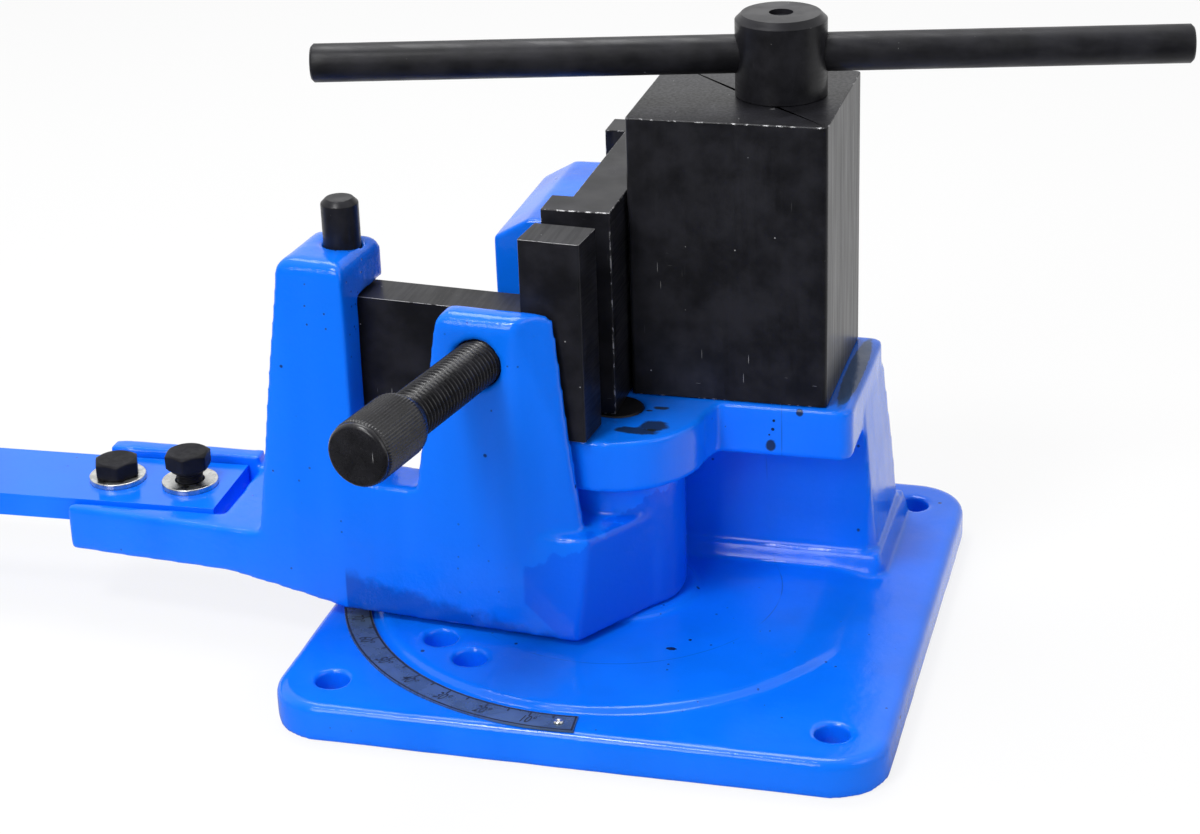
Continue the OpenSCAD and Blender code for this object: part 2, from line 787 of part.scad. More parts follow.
module arm_side() {
    low = arm_z + arm_rise;
    far = -2 * rail_end;
    near = 2 * arm_hub_r;
    slope_end = left_post_at + arm_slope_at;
    polygon([[far, low], [slope_end - arm_slope_len, low], [slope_end, arm_z], [near, arm_z],
             [near, deck_top], [die_at, deck_top], [die_at - deck_ramp, rail_top], [far, rail_top]]);
}

// The wedge that slopes the front corner, from the foot of the right post down to the bottom corner
module nose_cut() {
    corner = [arm_nose, -arm_front];
    side = touch(corner, arm_hub_r - cut, 1) - corner;
    start = [right_post_at + right_post_w - nose_inset, -arm_front, deck_top];
    along = [arm_nose + nose_slope * side.x / side.y, nose_slope - arm_front, deck_top] - start;
    down = [arm_nose, -arm_front, arm_z + nose_foot] - start;
    face = [start - along / 2 - down / 3, start + 2 * along - down / 3, start - along / 2 + 1.5 * down];
    polyhedron(concat(face, [for (p = face) p - [0, arm_front, 0]]),
               [[0, 2, 1], [3, 4, 5], [0, 1, 4, 3], [1, 2, 5, 4], [0, 3, 5, 2]]);
}

module arm_body() {
    difference() {
        intersection() {
            translate([0, 0, arm_z - cut]) linear_extrude(arm_hub_h) arm_plan();
            translate([0, 2 * arm_front, 0]) rotate([90, 0, 0]) linear_extrude(4 * arm_front) arm_side();
        }
        nose_cut();
    }
    translate([0, 0, arm_z]) cylinder(r = arm_hub_r, h = arm_hub_h);
    rotate([0, 0, lever_skew]) translate([-rail_end, lever_mid, floor_top - cut])
        cube([rail_end - channel_root, rear_rail_t, channel_depth + rear_rail_rise + cut]);
    web_left = left_post_at - left_post_spread / 2;
    translate([web_left, -arm_front, floor_top - cut])
        cube([right_post_at + right_post_w / 2 - web_left, web_t, web_top - floor_top + cut]);
}

// A post with an upright front face, sloping sides and back, and a round top
module post(foot_left, foot_right, foot_d, left, right, d, z1) {
    radii = [0, 0, post_r, post_r];
    z0 = post_foot_z;
    front = -arm_front;
    intersection() {
        front_profile([[foot_left, z0], [foot_right, z0], [right, z1], [left, z1]], radii,
                      front, front + foot_d + d);
        side_profile([[front, z0], [front + foot_d, z0], [front + d, z1], [front, z1]], radii,
                     foot_left - cut, foot_right + cut);
    }
}

module left_post() {
    right = left_post_at + left_post_w;
    post(left_post_at - left_post_spread, right, left_post_d + left_post_back_spread,
         left_post_at, right, left_post_d, left_post_top);
}

// Plan of the right post at one height, with its flank reaching right by far at the back of the top
module right_post_plan(far, z) {
    right = right_post_at + right_post_w;
    left = right_post_at - right_post_spread - cut;
    slope = far / right_post_d;
    back = web_t + cut;
    translate([0, -arm_front, z]) linear_extrude(cut)
        polygon([[left, -cut], [right - slope * cut, -cut], [right + slope * back, back], [left, back]]);
}

module right_post() {
    right = right_post_at + right_post_w;
    foot_reach = right_post_flank + right_post_lean;
    intersection() {
        post(right_post_at - right_post_spread, right + foot_reach, right_post_d + right_post_back_spread,
             right_post_at, right + right_post_flank, right_post_d, right_post_top);
        hull() {
            right_post_plan(foot_reach, post_foot_z - 2 * cut);
            right_post_plan(right_post_flank, right_post_top + cut);
        }
    }
}

module carrier_space() {
    low = die_z - run_gap;
    back = left_post_d + 2 * arm_front;
    translate([hinge_u, carrier_front - carrier_gap, low])
        cube([-hinge_u + 2 * arm_hub_r, back, carrier_h + 2 * run_gap]);
    translate([hinge_u, die_v, low]) cylinder(r = carrier_end_r + carrier_gap, h = carrier_h + 2 * run_gap);
    translate([hinge_u - carrier_end_r - carrier_gap, die_v, low])
        cube([2 * carrier_end_r, back, carrier_h + 2 * run_gap]);
    translate([right_post_at - right_post_spread, carrier_front - carrier_gap, low])
        cube([4 * arm_front, back, 4 * die_h]);
}

module swing_arm() {
    color("dodgerblue") in_arm() difference() {
        union() {
            arm_body();
            left_post();
            right_post();
        }
        carrier_space();
        translate([0, 0, arm_top + thrust_t / 2]) cylinder(r = tongue_r + tongue_gap, h = platform_top);
        translate([0, 0, arm_z - cut])
            cylinder(r = pivot_d / 2 + fit_clear + pivot_bush_wall, h = arm_hub_h + 2 * cut);
        translate([hinge_u, die_v, hinge_low]) cylinder(d = hinge_d, h = left_post_top);
        screw_axis() translate([0, 0, -screw_bore_r]) cylinder(r = screw_bore_r, h = 2 * web_t + screw_bore_r);
        rotate([0, 0, lever_skew]) {
            translate([-rail_end - cut, -lever_mid, floor_top])
                cube([rail_end - channel_root + cut, 2 * lever_mid, lever_t * 3]);
            for (i = [0, 1]) translate([-lever_root - bolt_inset - i * bolt_spacing, 0, arm_z - cut])
                cylinder(r = bolt_d / 2 + fit_clear, h = arm_low_h);
        }
    }
}

// Lever
module lever_bar() {
    color("dodgerblue") difference() {
        in_lever() translate([-lever_root - lever_len, -lever_w / 2, floor_top])
            cube([lever_len, lever_w, lever_t]);
        for (i = [1, 2]) at_bolt(i) translate([0, 0, floor_top - cut])
            cylinder(r = bolt_d / 2 + run_gap, h = lever_t + 2 * cut);
    }
}

module bolt_head() {
    top_r = bolt_head_af / 2 - bolt_head_edge;
    outer_r = bolt_head_af;
    drop = (outer_r - top_r) * tan(30);
    intersection() {
        hex(bolt_head_af, bolt_head_h);
        rotate_extrude()
            polygon([[0, 0], [outer_r, 0], [outer_r, bolt_head_h - drop], [top_r, bolt_head_h],
                     [0, bolt_head_h]]);
    }
}

module lever_bolt(i) {
    lift = i == 1 ? bolt_slack : 0;
    seat = lever_top + washer_t + lift;
    color("dimgray") at_bolt(i) {
        translate([0, 0, seat]) bolt_head();
        translate([0, 0, bolt_low + lift]) cylinder(d = bolt_d, h = seat - bolt_low - lift + cut);
    }
}

module lever_washer(i) {
    color("silver") at_bolt(i) translate([0, 0, lever_top])
        tube(washer_d / 2, bolt_d / 2 + run_gap, washer_t);
}

// Die, carrier and hinge
module die_carrier() {
    color("dimgray") in_arm() difference() {
        translate([0, 0, die_z]) linear_extrude(carrier_h) {
            translate([hinge_u, die_v]) circle(carrier_end_r);
            translate([hinge_u, carrier_front]) square([die_at - hinge_u, die_t]);
        }
        translate([hinge_u, die_v, die_z - cut])
            cylinder(r = hinge_d / 2 + fit_clear, h = carrier_h + 2 * cut);
        dowel_holes();
    }
}

module at_dowel(i) {
    translate([die_at - dowel_len / 2, die_v, die_z + carrier_h / 2 + (i - 1.5) * dowel_spacing])
        rotate([0, 90, 0]) children();
}

module dowel_holes() {
    for (i = [1, 2]) at_dowel(i) cylinder(d = dowel_d, h = dowel_len);
}

module bending_die() {
    color("dimgray") in_arm() difference() {
        translate([die_at, carrier_front, die_z]) linear_extrude(die_h)
            rounded_square([die_w, die_t], die_edge_r);
        dowel_holes();
    }
}

module die_dowel(i) {
    color("silver") in_arm() at_dowel(i) cylinder(d = dowel_d, h = dowel_len);
}

module hinge_pin() {
    color("dimgray") in_arm() translate([hinge_u, die_v, hinge_low])
        chamfered_rod(hinge_d, left_post_top + hinge_proud - hinge_low, hinge_chamfer);
}

// Adjusting screw and the foot that turns on its end
module adjusting_screw() {
    end = foot_tip - foot_len - run_gap;
    head_r = screw_head_d / 2;
    color("dimgray") in_arm() screw_axis() {
        translate([0, 0, -screw_reach]) cylinder(d = screw_d, h = screw_reach + end);
        translate([0, 0, end - cut]) cylinder(d = spigot_d, h = spigot_len + cut);
        translate([0, 0, -screw_reach - screw_head_len]) rotate_extrude()
            polygon([[0, 0], [head_r - screw_head_chamfer, 0], [head_r, screw_head_chamfer],
                     [head_r, screw_head_len - screw_head_taper], [screw_d / 2, screw_head_len],
                     [0, screw_head_len]]);
    }
}

module screw_foot() {
    color("silver") in_arm() screw_axis() difference() {
        intersection() {
            translate([0, 0, foot_tip - foot_len]) cylinder(r = foot_r, h = foot_len);
            translate([0, 0, foot_tip - foot_dome_r]) sphere(r = foot_dome_r);
        }
        translate([0, 0, foot_tip - foot_len - cut])
            cylinder(r = spigot_d / 2 + run_gap, h = spigot_len + cut);
    }
}

base_casting();
angle_scale();
scale_rivet(1);  // scale_rivet_1
scale_rivet(2);  // scale_rivet_2
pivot_pin();
pivot_bush();
thrust_washer();
fixed_jaw();
jaw_screw(1);  // jaw_screw_1
jaw_screw(2);  // jaw_screw_2
clamp_block();
cam_shaft();
cam_bush();
handle_bar();
handle_grub();
swing_arm();
lever_bar();
lever_bolt(1);  // lever_bolt_1
lever_bolt(2);  // lever_bolt_2
lever_washer(1);  // lever_washer_1
lever_washer(2);  // lever_washer_2
die_carrier();
bending_die();
die_dowel(1);  // die_dowel_1
die_dowel(2);  // die_dowel_2
hinge_pin();
adjusting_screw();
screw_foot();
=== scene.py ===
"""Dresses the universal bar bender: cast, milled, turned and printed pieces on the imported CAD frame."""

import json
import math

import bmesh
import bpy
from bpy.props import FloatProperty, FloatVectorProperty, IntProperty, PointerProperty
from mathutils import Euler, Matrix, Vector, noise


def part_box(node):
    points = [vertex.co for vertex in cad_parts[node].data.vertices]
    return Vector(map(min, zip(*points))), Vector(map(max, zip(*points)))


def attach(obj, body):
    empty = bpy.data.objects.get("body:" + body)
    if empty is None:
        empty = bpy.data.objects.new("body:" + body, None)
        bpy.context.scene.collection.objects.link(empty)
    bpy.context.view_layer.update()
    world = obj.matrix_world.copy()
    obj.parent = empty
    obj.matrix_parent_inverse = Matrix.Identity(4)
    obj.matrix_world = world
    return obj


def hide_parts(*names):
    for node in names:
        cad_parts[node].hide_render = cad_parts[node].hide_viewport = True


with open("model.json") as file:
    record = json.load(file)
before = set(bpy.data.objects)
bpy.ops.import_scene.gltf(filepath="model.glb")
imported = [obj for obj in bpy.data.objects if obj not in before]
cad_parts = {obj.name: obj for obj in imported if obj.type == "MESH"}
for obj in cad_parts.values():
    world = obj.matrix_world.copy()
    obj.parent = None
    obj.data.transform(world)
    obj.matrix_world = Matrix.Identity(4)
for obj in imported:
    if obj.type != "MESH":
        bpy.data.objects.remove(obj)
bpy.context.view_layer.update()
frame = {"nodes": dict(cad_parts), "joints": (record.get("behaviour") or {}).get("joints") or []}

bl_info = {
    "name": "Bar Bender",
    "version": (1, 0, 0),
    "blender": (4, 5, 0),
    "location": "View3D > Sidebar > Bar Bender",
    "description": "Builds the enamelled castings, black steel and fittings of a bench bar bender",
    "category": "Add Mesh",
}

MM = 0.001
JOINTS = {joint["name"]: joint for joint in frame["joints"]}
PIVOT = Vector(JOINTS["arm_swing"]["pos_m"])
SCREW_POINT = Vector(JOINTS["screw_turn"]["pos_m"])
SCREW_AXIS = Vector(JOINTS["screw_turn"]["axis"])
UP = Vector((0, 0, 1))
ARM_TURN = math.radians(5)          # between the arm's own axes and the frame's
WELD = 1e-6                         # joins the split vertices of a CAD mesh
LEVEL_ANGLE = math.radians(0.5)     # faces that meet flatter than this are one face
SHARP_ANGLE = math.radians(35)      # edges that are sharper than this are broken
LONG_WAVE, SHORT_WAVE = 38, 95      # waves of the castings, per metre
THREAD_DEPTH = 0.58                 # of the pitch
HEAD_SLOPE = math.radians(28)       # chamfer of the bolt heads
PICTURE_W, PICTURE_H = 1200, 834    # of the picture that the camera was fitted to
FOCAL_PX, AXIS_PX = 2666.943, (587.70, 410.10)


# Settings that a user would change

def colour_setting(name, description, default):
    return FloatVectorProperty(name=name, description=description, subtype="COLOR", size=3, min=0, max=1,
                               default=default)


def length_setting(name, description, default, **limits):
    return FloatProperty(name=name, description=description, unit="LENGTH", default=default, **limits)


def power_setting(name, description, default):
    return FloatProperty(name=name, description=description, unit="POWER", min=0, max=200, default=default)


class EnamelSettings(bpy.types.PropertyGroup):
    colour: colour_setting("Enamel", "Colour of the enamel on the castings and the lever", (0.0025, 0.168, 0.93))
    pit_colour: colour_setting("Pits", "Colour of pits and chips in the enamel", (0.004, 0.012, 0.05))
    oil_colour: colour_setting("Oil", "Colour of old oil on the platform", (0.010, 0.014, 0.008))
    slide_colour: colour_setting(
        "Slide", "Colour of the rubbed platform beside the clamp block", (0.006, 0.045, 0.085))
    # colour of the darker area with a ragged upper edge on the arm's front corner
    nose_colour: colour_setting(
        "Dark corner", "Colour of the darker area on the arm's front corner", (0.001, 0.115, 0.80))
    # painted shade: colour of the band low on the arm's front, darkest at the bottom
    low_shade_colour: colour_setting(
        "Painted low shade", "Colour of the painted shade low on the arm's front", (0.001, 0.058, 0.42))
    mesh_step: length_setting(
        "Mesh step", "Grid step from which the castings are formed", 0.0011, min=0.0006, max=0.003)
    base_softness: IntProperty(
        name="Base softness", description="Smoothing passes that round the edges of the base",
        min=0, max=60, default=9)
    arm_softness: IntProperty(
        name="Arm softness", description="Smoothing passes that round the edges of the arm",
        min=0, max=60, default=18)
    unevenness: length_setting(
        "Unevenness", "Height of the waves that the mould left in the castings", 0.00022, min=0, max=0.001)
    face_limit: IntProperty(
        name="Face limit", description="Most triangles in one casting", min=20000, max=195000, default=170000)


class SteelSettings(bpy.types.PropertyGroup):
    oxide_colour: colour_setting(
        "Black oxide", "Colour of the oiled black oxide on the steel", (0.010, 0.010, 0.0125))
    worn_colour: colour_setting(
        "Worn steel", "Colour of bare steel on worn edges and scratches", (0.42, 0.42, 0.43))
    zinc_colour: colour_setting("Zinc", "Colour of the plated washers and rivets", (0.66, 0.66, 0.64))
    bronze_colour: colour_setting("Bronze", "Colour of the bushes", (0.55, 0.36, 0.15))
    edge: length_setting("Broken edge", "Width of the broken edges on milled pieces", 0.0005, min=0.0001, max=0.002)


class ScrewSettings(bpy.types.PropertyGroup):
    thread_d: length_setting("Thread", "Outer diameter of the adjusting screw's thread", 0.020)
    pitch: length_setting("Pitch", "Advance of the thread in one turn", 0.0025)
    reach: length_setting("Reach", "Thread in front of the post", 0.057)
    thread_end: length_setting("Thread end", "Thread behind the front of the post", 0.00898)
    head_d: length_setting("Head", "Diameter of the knurled head", 0.0265)
    head_len: length_setting("Head length", "Length of the knurled head", 0.036)
    flutes: IntProperty(
        name="Flutes", description="Grooves of the straight knurl", min=24, max=96, default=64)
    bolt_d: length_setting("Bolt", "Thread diameter of the lever bolts", 0.012)
    bolt_pitch: length_setting("Bolt pitch", "Advance of the bolts' thread in one turn", 0.00175)
    bolt_af: length_setting("Across flats", "Width of the bolt heads", 0.018)
    bolt_head: length_setting("Bolt head", "Height of the bolt heads", 0.0075)


class DialSettings(bpy.types.PropertyGroup):
    plate_colour: colour_setting("Plate", "Colour of the dial plate", (0.10, 0.16, 0.26))
    ink_colour: colour_setting("Ink", "Colour of the lines and numbers on the dial", (0.006, 0.007, 0.010))
    inner_r: length_setting("Inner radius", "Inner radius of the dial", 0.108)
    outer_r: length_setting("Outer radius", "Outer radius of the dial", 0.1195)
    zero: FloatProperty(
        name="Zero line", description="Direction of the dial's zero end", subtype="ANGLE",
        default=math.radians(-85))
    span: FloatProperty(
        name="Span", description="Angle that the dial covers", subtype="ANGLE", default=math.radians(93))
    number_r: length_setting("Number radius", "Radius of the middle of the numbers", 0.1146)
    number_h: length_setting("Number size", "Type size of the numbers", 0.0074)
    number_stretch: FloatProperty(
        name="Number width", description="Width of the numbers against their height",
        min=0.3, max=1.5, default=0.62)


class StageSettings(bpy.types.PropertyGroup):
    floor_colour: colour_setting("Floor", "Colour of the studio floor", (0.86, 0.86, 0.86))
    ambient: FloatProperty(
        name="Ambient light", description="Light from all round", min=0, max=2, default=0.3)
    front_power: power_setting("Front light", "Power of the soft light in front", 16)
    top_power: power_setting("Top light", "Power of the small soft light overhead", 9)
    back_power: power_setting("Back light", "Power of the soft light behind", 14)
    side_power: power_setting("Side light", "Power of the soft light on the right", 3)


class BarBenderSettings(bpy.types.PropertyGroup):
    enamel: PointerProperty(type=EnamelSettings)
    steel: PointerProperty(type=SteelSettings)
    screw: PointerProperty(type=ScrewSettings)
    dial: PointerProperty(type=DialSettings)
    stage: PointerProperty(type=StageSettings)


# Node trees

def put(tree, socket, value):
    """Links a socket to a socket, or sets its value."""
    if isinstance(value, bpy.types.NodeSocket):
        tree.links.new(value, socket)
    elif value is not None:
        socket.default_value = value


def node(tree, kind, inputs=None, **settings):
    """A node with its settings, and its inputs given by name or number."""
    made = tree.nodes.new(kind)
    for key, value in settings.items():
        setattr(made, key, value)
    for key, value in (inputs or {}).items():
        put(tree, made.inputs[key], value)
    return made


def calc(tree, operation, a, b=None, clamp=False):
    """The result of a sum, product or other operation on two values."""
    return node(tree, "ShaderNodeMath", {0: a, 1: b}, operation=operation, use_clamp=clamp).outputs[0]


def times(tree, a, b):
    return calc(tree, "MULTIPLY", a, b)


def plus(tree, a, b):
    return calc(tree, "ADD", a, b)


def minus(tree, a, b, clamp=False):
    return calc(tree, "SUBTRACT", a, b, clamp)


def blend(tree, factor, a, b):
    """A colour between a and b."""
    colours = [c if isinstance(c, bpy.types.NodeSocket) else (*c[:3], 1) for c in (a, b)]
    made = node(tree, "ShaderNodeMix", {0: factor, 6: colours[0], 7: colours[1]}, data_type="RGBA")
    return made.outputs[2]


def between(tree, value, low, high, out_low=0.0, out_high=1.0):
    """A value mapped from one range to another, with soft ends."""
    inputs = {0: value, 1: low, 2: high, 3: out_low, 4: out_high}
    return node(tree, "ShaderNodeMapRange", inputs, interpolation_type="SMOOTHSTEP").outputs[0]


def vector_calc(tree, operation, a, b):
    """The result of an operation on two vectors."""
    return node(tree, "ShaderNodeVectorMath", {0: a, 1: b}, operation=operation).outputs[0]


def length_of(tree, vector):
    return node(tree, "ShaderNodeVectorMath", {0: vector}, operation="LENGTH").outputs["Value"]


def own_coords(tree):
    """The piece's own coordinates in metres."""
    return node(tree, "ShaderNodeTexCoord").outputs["Object"]


def place_coords(tree, scale=(1, 1, 1), turn=(0, 0, 0), shift=(0, 0, 0)):
    """The piece's own coordinates in metres, turned and scaled."""
    inputs = {"Vector": own_coords(tree), "Scale": scale, "Rotation": turn, "Location": shift}
    return node(tree, "ShaderNodeMapping", inputs).outputs[0]


def cloud(tree, vector, scale, detail=2.0, roughness=0.5):
    """Soft noise between 0 and 1."""
    inputs = {"Vector": vector, "Scale": scale, "Detail": detail, "Roughness": roughness}
    return node(tree, "ShaderNodeTexNoise", inputs).outputs[0]


def dots(tree, vector, scale, size, share):
    """Round dots of a given size in a share of the cells of a random grid."""
    cells = node(tree, "ShaderNodeTexVoronoi", {"Vector": vector, "Scale": scale})
    near = between(tree, cells.outputs["Distance"], size, times(tree, size, 0.6))
    red = node(tree, "ShaderNodeSeparateColor", {0: cells.outputs["Color"]}).outputs[0]
    chosen = calc(tree, "LESS_THAN", red, share)
    return times(tree, near, chosen)


def new_group(name, inputs, *outputs):
    """An empty shader node group. Its inputs are numbers or vectors with defaults, and its outputs are numbers."""
    tree = bpy.data.node_groups.new(name, "ShaderNodeTree")
    for label, default in inputs.items():
        kind = "NodeSocketVector" if isinstance(default, tuple) else "NodeSocketFloat"
        tree.interface.new_socket(label, in_out="INPUT", socket_type=kind).default_value = default
    for label in outputs:
        tree.interface.new_socket(label, in_out="OUTPUT", socket_type="NodeSocketFloat")
    source = tree.nodes.new("NodeGroupInput").outputs
    target = tree.nodes.new("NodeGroupOutput").inputs
    return tree, source, target


def use_group(tree, name, **values):
    """Places a node group and sets its inputs, given with _ for a space."""
    made = node(tree, "ShaderNodeGroup", node_tree=bpy.data.node_groups[name])
    for key, value in values.items():
        put(tree, made.inputs[key.replace("_", " ")], value)
    return made.outputs


def make_casting_skin():
    """Enamel over a sand casting: waves, runs, orange peel and pits. Heights are in millimetres."""
    tree, source, target = new_group(
        "casting_skin", {"Peel": 0.03, "Runs": 0.1, "Pit Share": 0.2}, "Height", "Pits", "Tone")
    coords = place_coords(tree)
    drawn = place_coords(tree, scale=(1, 1, 0.12))
    runs = times(tree, cloud(tree, drawn, 95, 2), source["Runs"])
    coarse = times(tree, cloud(tree, coords, 330, 2), source["Peel"])
    fine = times(tree, cloud(tree, coords, 900, 3, 0.6), times(tree, source["Peel"], 0.55))
    large = dots(tree, coords, 80, 0.085, source["Pit Share"])
    small = dots(tree, place_coords(tree, shift=(0.31, 0.17, 0.53)), 230, 0.14, source["Pit Share"])
    patches = between(tree, cloud(tree, coords, 14, 2), 0.48, 0.62)
    pits = calc(tree, "MAXIMUM", large, times(tree, small, patches))
    height = plus(tree, plus(tree, runs, coarse), fine)
    put(tree, target["Height"], minus(tree, height, times(tree, pits, 0.12)))
    put(tree, target["Pits"], pits)
    put(tree, target["Tone"], cloud(tree, drawn, 26, 3))


def make_edge_wear():
    """Bare steel along the edges marked on a piece, broken up by noise."""
    tree, source, target = new_group("edge_wear", {"Amount": 0.5, "Grain": 300.0}, "Mask")
    edge = node(tree, "ShaderNodeAttribute", attribute_name="edge").outputs["Fac"]
    broken = cloud(tree, place_coords(tree), source["Grain"], 4, 0.65)
    start = minus(tree, 0.78, times(tree, source["Amount"], 0.5))
    kept = between(tree, broken, start, plus(tree, start, 0.08))
    put(tree, target["Mask"], times(tree, times(tree, edge, kept), 0.7))


def make_scratches():
    """Thin short scratches in two directions."""
    tree, source, target = new_group("scratches", {"Share": 0.2}, "Mask")
    steep = place_coords(tree, scale=(900, 900, 38), turn=(0.3, 0.55, 0.2))
    flat = place_coords(tree, scale=(60, 60, 1100), turn=(-0.2, 0.35, 0.5))
    lines = calc(tree, "MAXIMUM", dots(tree, steep, 1, 0.1, source["Share"]),
                 dots(tree, flat, 1, 0.08, source["Share"]))
    patches = between(tree, cloud(tree, place_coords(tree), 22, 3), 0.5, 0.66)
    put(tree, target["Mask"], times(tree, lines, patches))


def make_machining():
    """Fine parallel tool marks along X, Y or Z of a piece, as a height and as a tone."""
    tree, source, target = new_group("machining", {"Scale": (900, 900, 20)}, "Height", "Tone")
    coords = own_coords(tree)
    long = vector_calc(tree, "MULTIPLY", coords, source["Scale"])
    marks = cloud(tree, long, 1.0, 3, 0.6)
    put(tree, target["Height"], times(tree, marks, 0.02))
    put(tree, target["Tone"], between(tree, marks, 0.3, 0.7))


def make_stain_spot():
    """A ragged round stain at a point of the piece."""
    tree, source, target = new_group(
        "stain_spot", {"Centre": (0, 0, 0), "Radius": 0.005, "Stretch": (1, 1, 1), "Ragged": 0.4, "Soft": 0.15},
        "Mask")
    coords = own_coords(tree)
    away = vector_calc(tree, "SUBTRACT", coords, source["Centre"])
    shaped = vector_calc(tree, "MULTIPLY", away, source["Stretch"])
    length = length_of(tree, shaped)
    reach = calc(tree, "DIVIDE", length, source["Radius"])
    swing = times(tree, minus(tree, cloud(tree, coords, 260, 2), 0.5), source["Ragged"])
    rim = plus(tree, reach, times(tree, swing, 2.4))
    put(tree, target["Mask"], between(tree, rim, 1.0, minus(tree, 1.0, source["Soft"])))


def make_ring_mark():
    """A thin scratch on a circle round an upright axis."""
    tree, source, target = new_group("ring_mark", {"Centre": (0, 0, 0), "Radius": 0.05, "Width": 0.0003}, "Mask")
    coords = own_coords(tree)
    away = vector_calc(tree, "SUBTRACT", coords, source["Centre"])
    level = vector_calc(tree, "MULTIPLY", away, (1, 1, 0))
    length = length_of(tree, level)
    off = calc(tree, "ABSOLUTE", minus(tree, length, source["Radius"]))
    line = between(tree, off, source["Width"], 0.0)
    broken = between(tree, cloud(tree, coords, 40, 3), 0.42, 0.6)
    put(tree, target["Mask"], times(tree, line, broken))


# Materials

def new_material(name):
    """The tree of a new material and the shader in it."""
    material = bpy.data.materials.new(name)
    material.use_nodes = True
    tree = material.node_tree
    tree.nodes.clear()
    shader = node(tree, "ShaderNodeBsdfPrincipled")
    node(tree, "ShaderNodeOutputMaterial", {"Surface": shader.outputs[0]})
    return tree, shader


def set_shader(tree, shader, **values):
    """Sets the shader's inputs, given with _ for a space."""
    for key, value in values.items():
        put(tree, shader.inputs[key.replace("_", " ")], value)


def set_bump(tree, shader, height):
    """Feeds a height in millimetres to the shader's normal."""
    bump = node(tree, "ShaderNodeBump", {"Strength": 1.0, "Distance": MM, "Height": height})
    set_shader(tree, shader, Normal=bump.outputs[0])


def scaled(colour, factor):
    return tuple(min(1.0, c * factor) for c in colour)


def enamel_material(name, settings, runs=0.1, peel=0.03, pit_share=0.2, marks=None):
    """Glossy blue enamel; marks adds the stains of one casting, or the painted shade low on the arm's front and its
    darker front corner.
    """
    tree, shader = new_material(name)
    coat = use_group(tree, "casting_skin", Peel=peel, Runs=runs, Pit_Share=pit_share)
    tone = between(tree, coat["Tone"], 0.3, 0.7)
    colour = blend(tree, tone, scaled(settings.colour, 0.93), scaled(settings.colour, 1.04))
    colour = blend(tree, times(tree, coat["Pits"], 0.85), colour, settings.pit_colour)
    rough = between(tree, coat["Tone"], 0.25, 0.75, 0.10, 0.20)
    if marks:
        colour = marks(tree, colour)
    set_shader(tree, shader, Base_Color=colour, Roughness=rough, Specular_IOR_Level=0.36)
    set_bump(tree, shader, coat["Height"])


def stained(tree, colour, paint, spots, cover=1.0, **look):
    """A colour with ragged spots of a paint. A spot is a point and a radius in millimetres, and a stretch."""
    for point, radius, stretch in spots:
        mask = use_group(tree, "stain_spot", Centre=[c * MM for c in point], Radius=radius * MM,
                         Stretch=stretch, **look)["Mask"]
        colour = blend(tree, times(tree, mask, cover), colour, paint)
    return colour


def base_marks(settings):
    """Oil on the tongue and platform, a scratch that the arm drew on the disc, and chips."""
    spots = [((8.0, -28.0, 103.0), 8.0, (0.75, 2.0, 1)), ((14.0, -22.0, 103.0), 5.5, (0.8, 0.95, 1)),
             ((13.0, -4.0, 103.0), 2.6, (0.7, 1.3, 1)), ((8.6, -7.5, 103.0), 1.3, (0.7, 1.3, 1)),
             ((57.3, 5.0, 85.6), 2.7, (1.1, 1, 0.9)), ((69.4, 5.0, 101.5), 1.9, (0.9, 0.8, 1.0))]
    chips = [((27.8, -55.3, 18.4), 1.6, (0.7, 1.3, 1)), ((33.5, -46.5, 18.4), 0.8, (1, 1, 1)),
             ((58.0, 5.0, 93.0), 0.7, (1, 1, 1)), ((56.6, 5.0, 90.5), 0.6, (1, 1, 1)),
             ((58.6, 5.0, 97.0), 0.6, (1, 1, 1))]
    slid = [((85.2, 48.0, 103.0), 40.0, (9.5, 1, 9))]

    def add(tree, colour):
        colour = stained(tree, colour, settings.oil_colour, spots, cover=0.9, Ragged=0.3, Soft=0.35)
        colour = stained(tree, colour, settings.slide_colour, slid, cover=0.85, Ragged=0.1)
        colour = stained(tree, colour, settings.pit_colour, chips, Ragged=0.7)
        ring = use_group(tree, "ring_mark", Centre=PIVOT, Radius=68.6 * MM, Width=0.45 * MM)["Mask"]
        return blend(tree, times(tree, ring, 0.55), colour, scaled(settings.colour, 0.35))
    return add


def arm_shade_and_corner(settings):
    """A darker area with a ragged upper edge on the arm's front corner, and painted shade in a band low on its
    front, darkest at the bottom.
    """
    shift = -(Matrix.Rotation(ARM_TURN, 3, "Z") @ Vector((PIVOT.x, PIVOT.y, 0)))
    raggedness, soft = 0.02, 0.001
    band_end, band_slope, band_low, band_high = -0.103, 0.17, 0.034, 0.041
    corner_end, corner_slope, corner_top, corner_foot, corner_lean = -0.022, 0.5, 0.0505, 0.036, 1.1

    def add(tree, colour):
        coords = place_coords(tree, turn=(0, 0, ARM_TURN), shift=shift)
        along, _, height = node(tree, "ShaderNodeSeparateXYZ", {0: coords}).outputs
        ragged = minus(tree, cloud(tree, coords, 130, 3, 0.6), 0.5)
        ragged = times(tree, ragged, raggedness)
        # Painted shade: the band low on the arm's front darkens the enamel towards its bottom edge.
        fall = times(tree, minus(tree, along, band_end), band_slope)
        over_band = plus(tree, height, plus(tree, fall, times(tree, ragged, 0.5)))
        band = times(tree, between(tree, over_band, band_high, band_low),
                    between(tree, along, band_end - soft / 2, band_end + soft / 2))
        colour = blend(tree, times(tree, band, 0.8), colour, settings.low_shade_colour)
        # The arm's front corner, below a ragged sloping line, is made a darker blue.
        rise = times(tree, minus(tree, along, corner_end), corner_slope)
        over_corner = plus(tree, minus(tree, height, rise), ragged)
        lean = times(tree, minus(tree, corner_foot, height, clamp=True), corner_lean)
        coat = times(tree, between(tree, over_corner, corner_top + soft, corner_top - soft),
                    between(tree, minus(tree, along, lean), corner_end - soft, corner_end + soft))
        return blend(tree, coat, colour, settings.nose_colour)
    return add


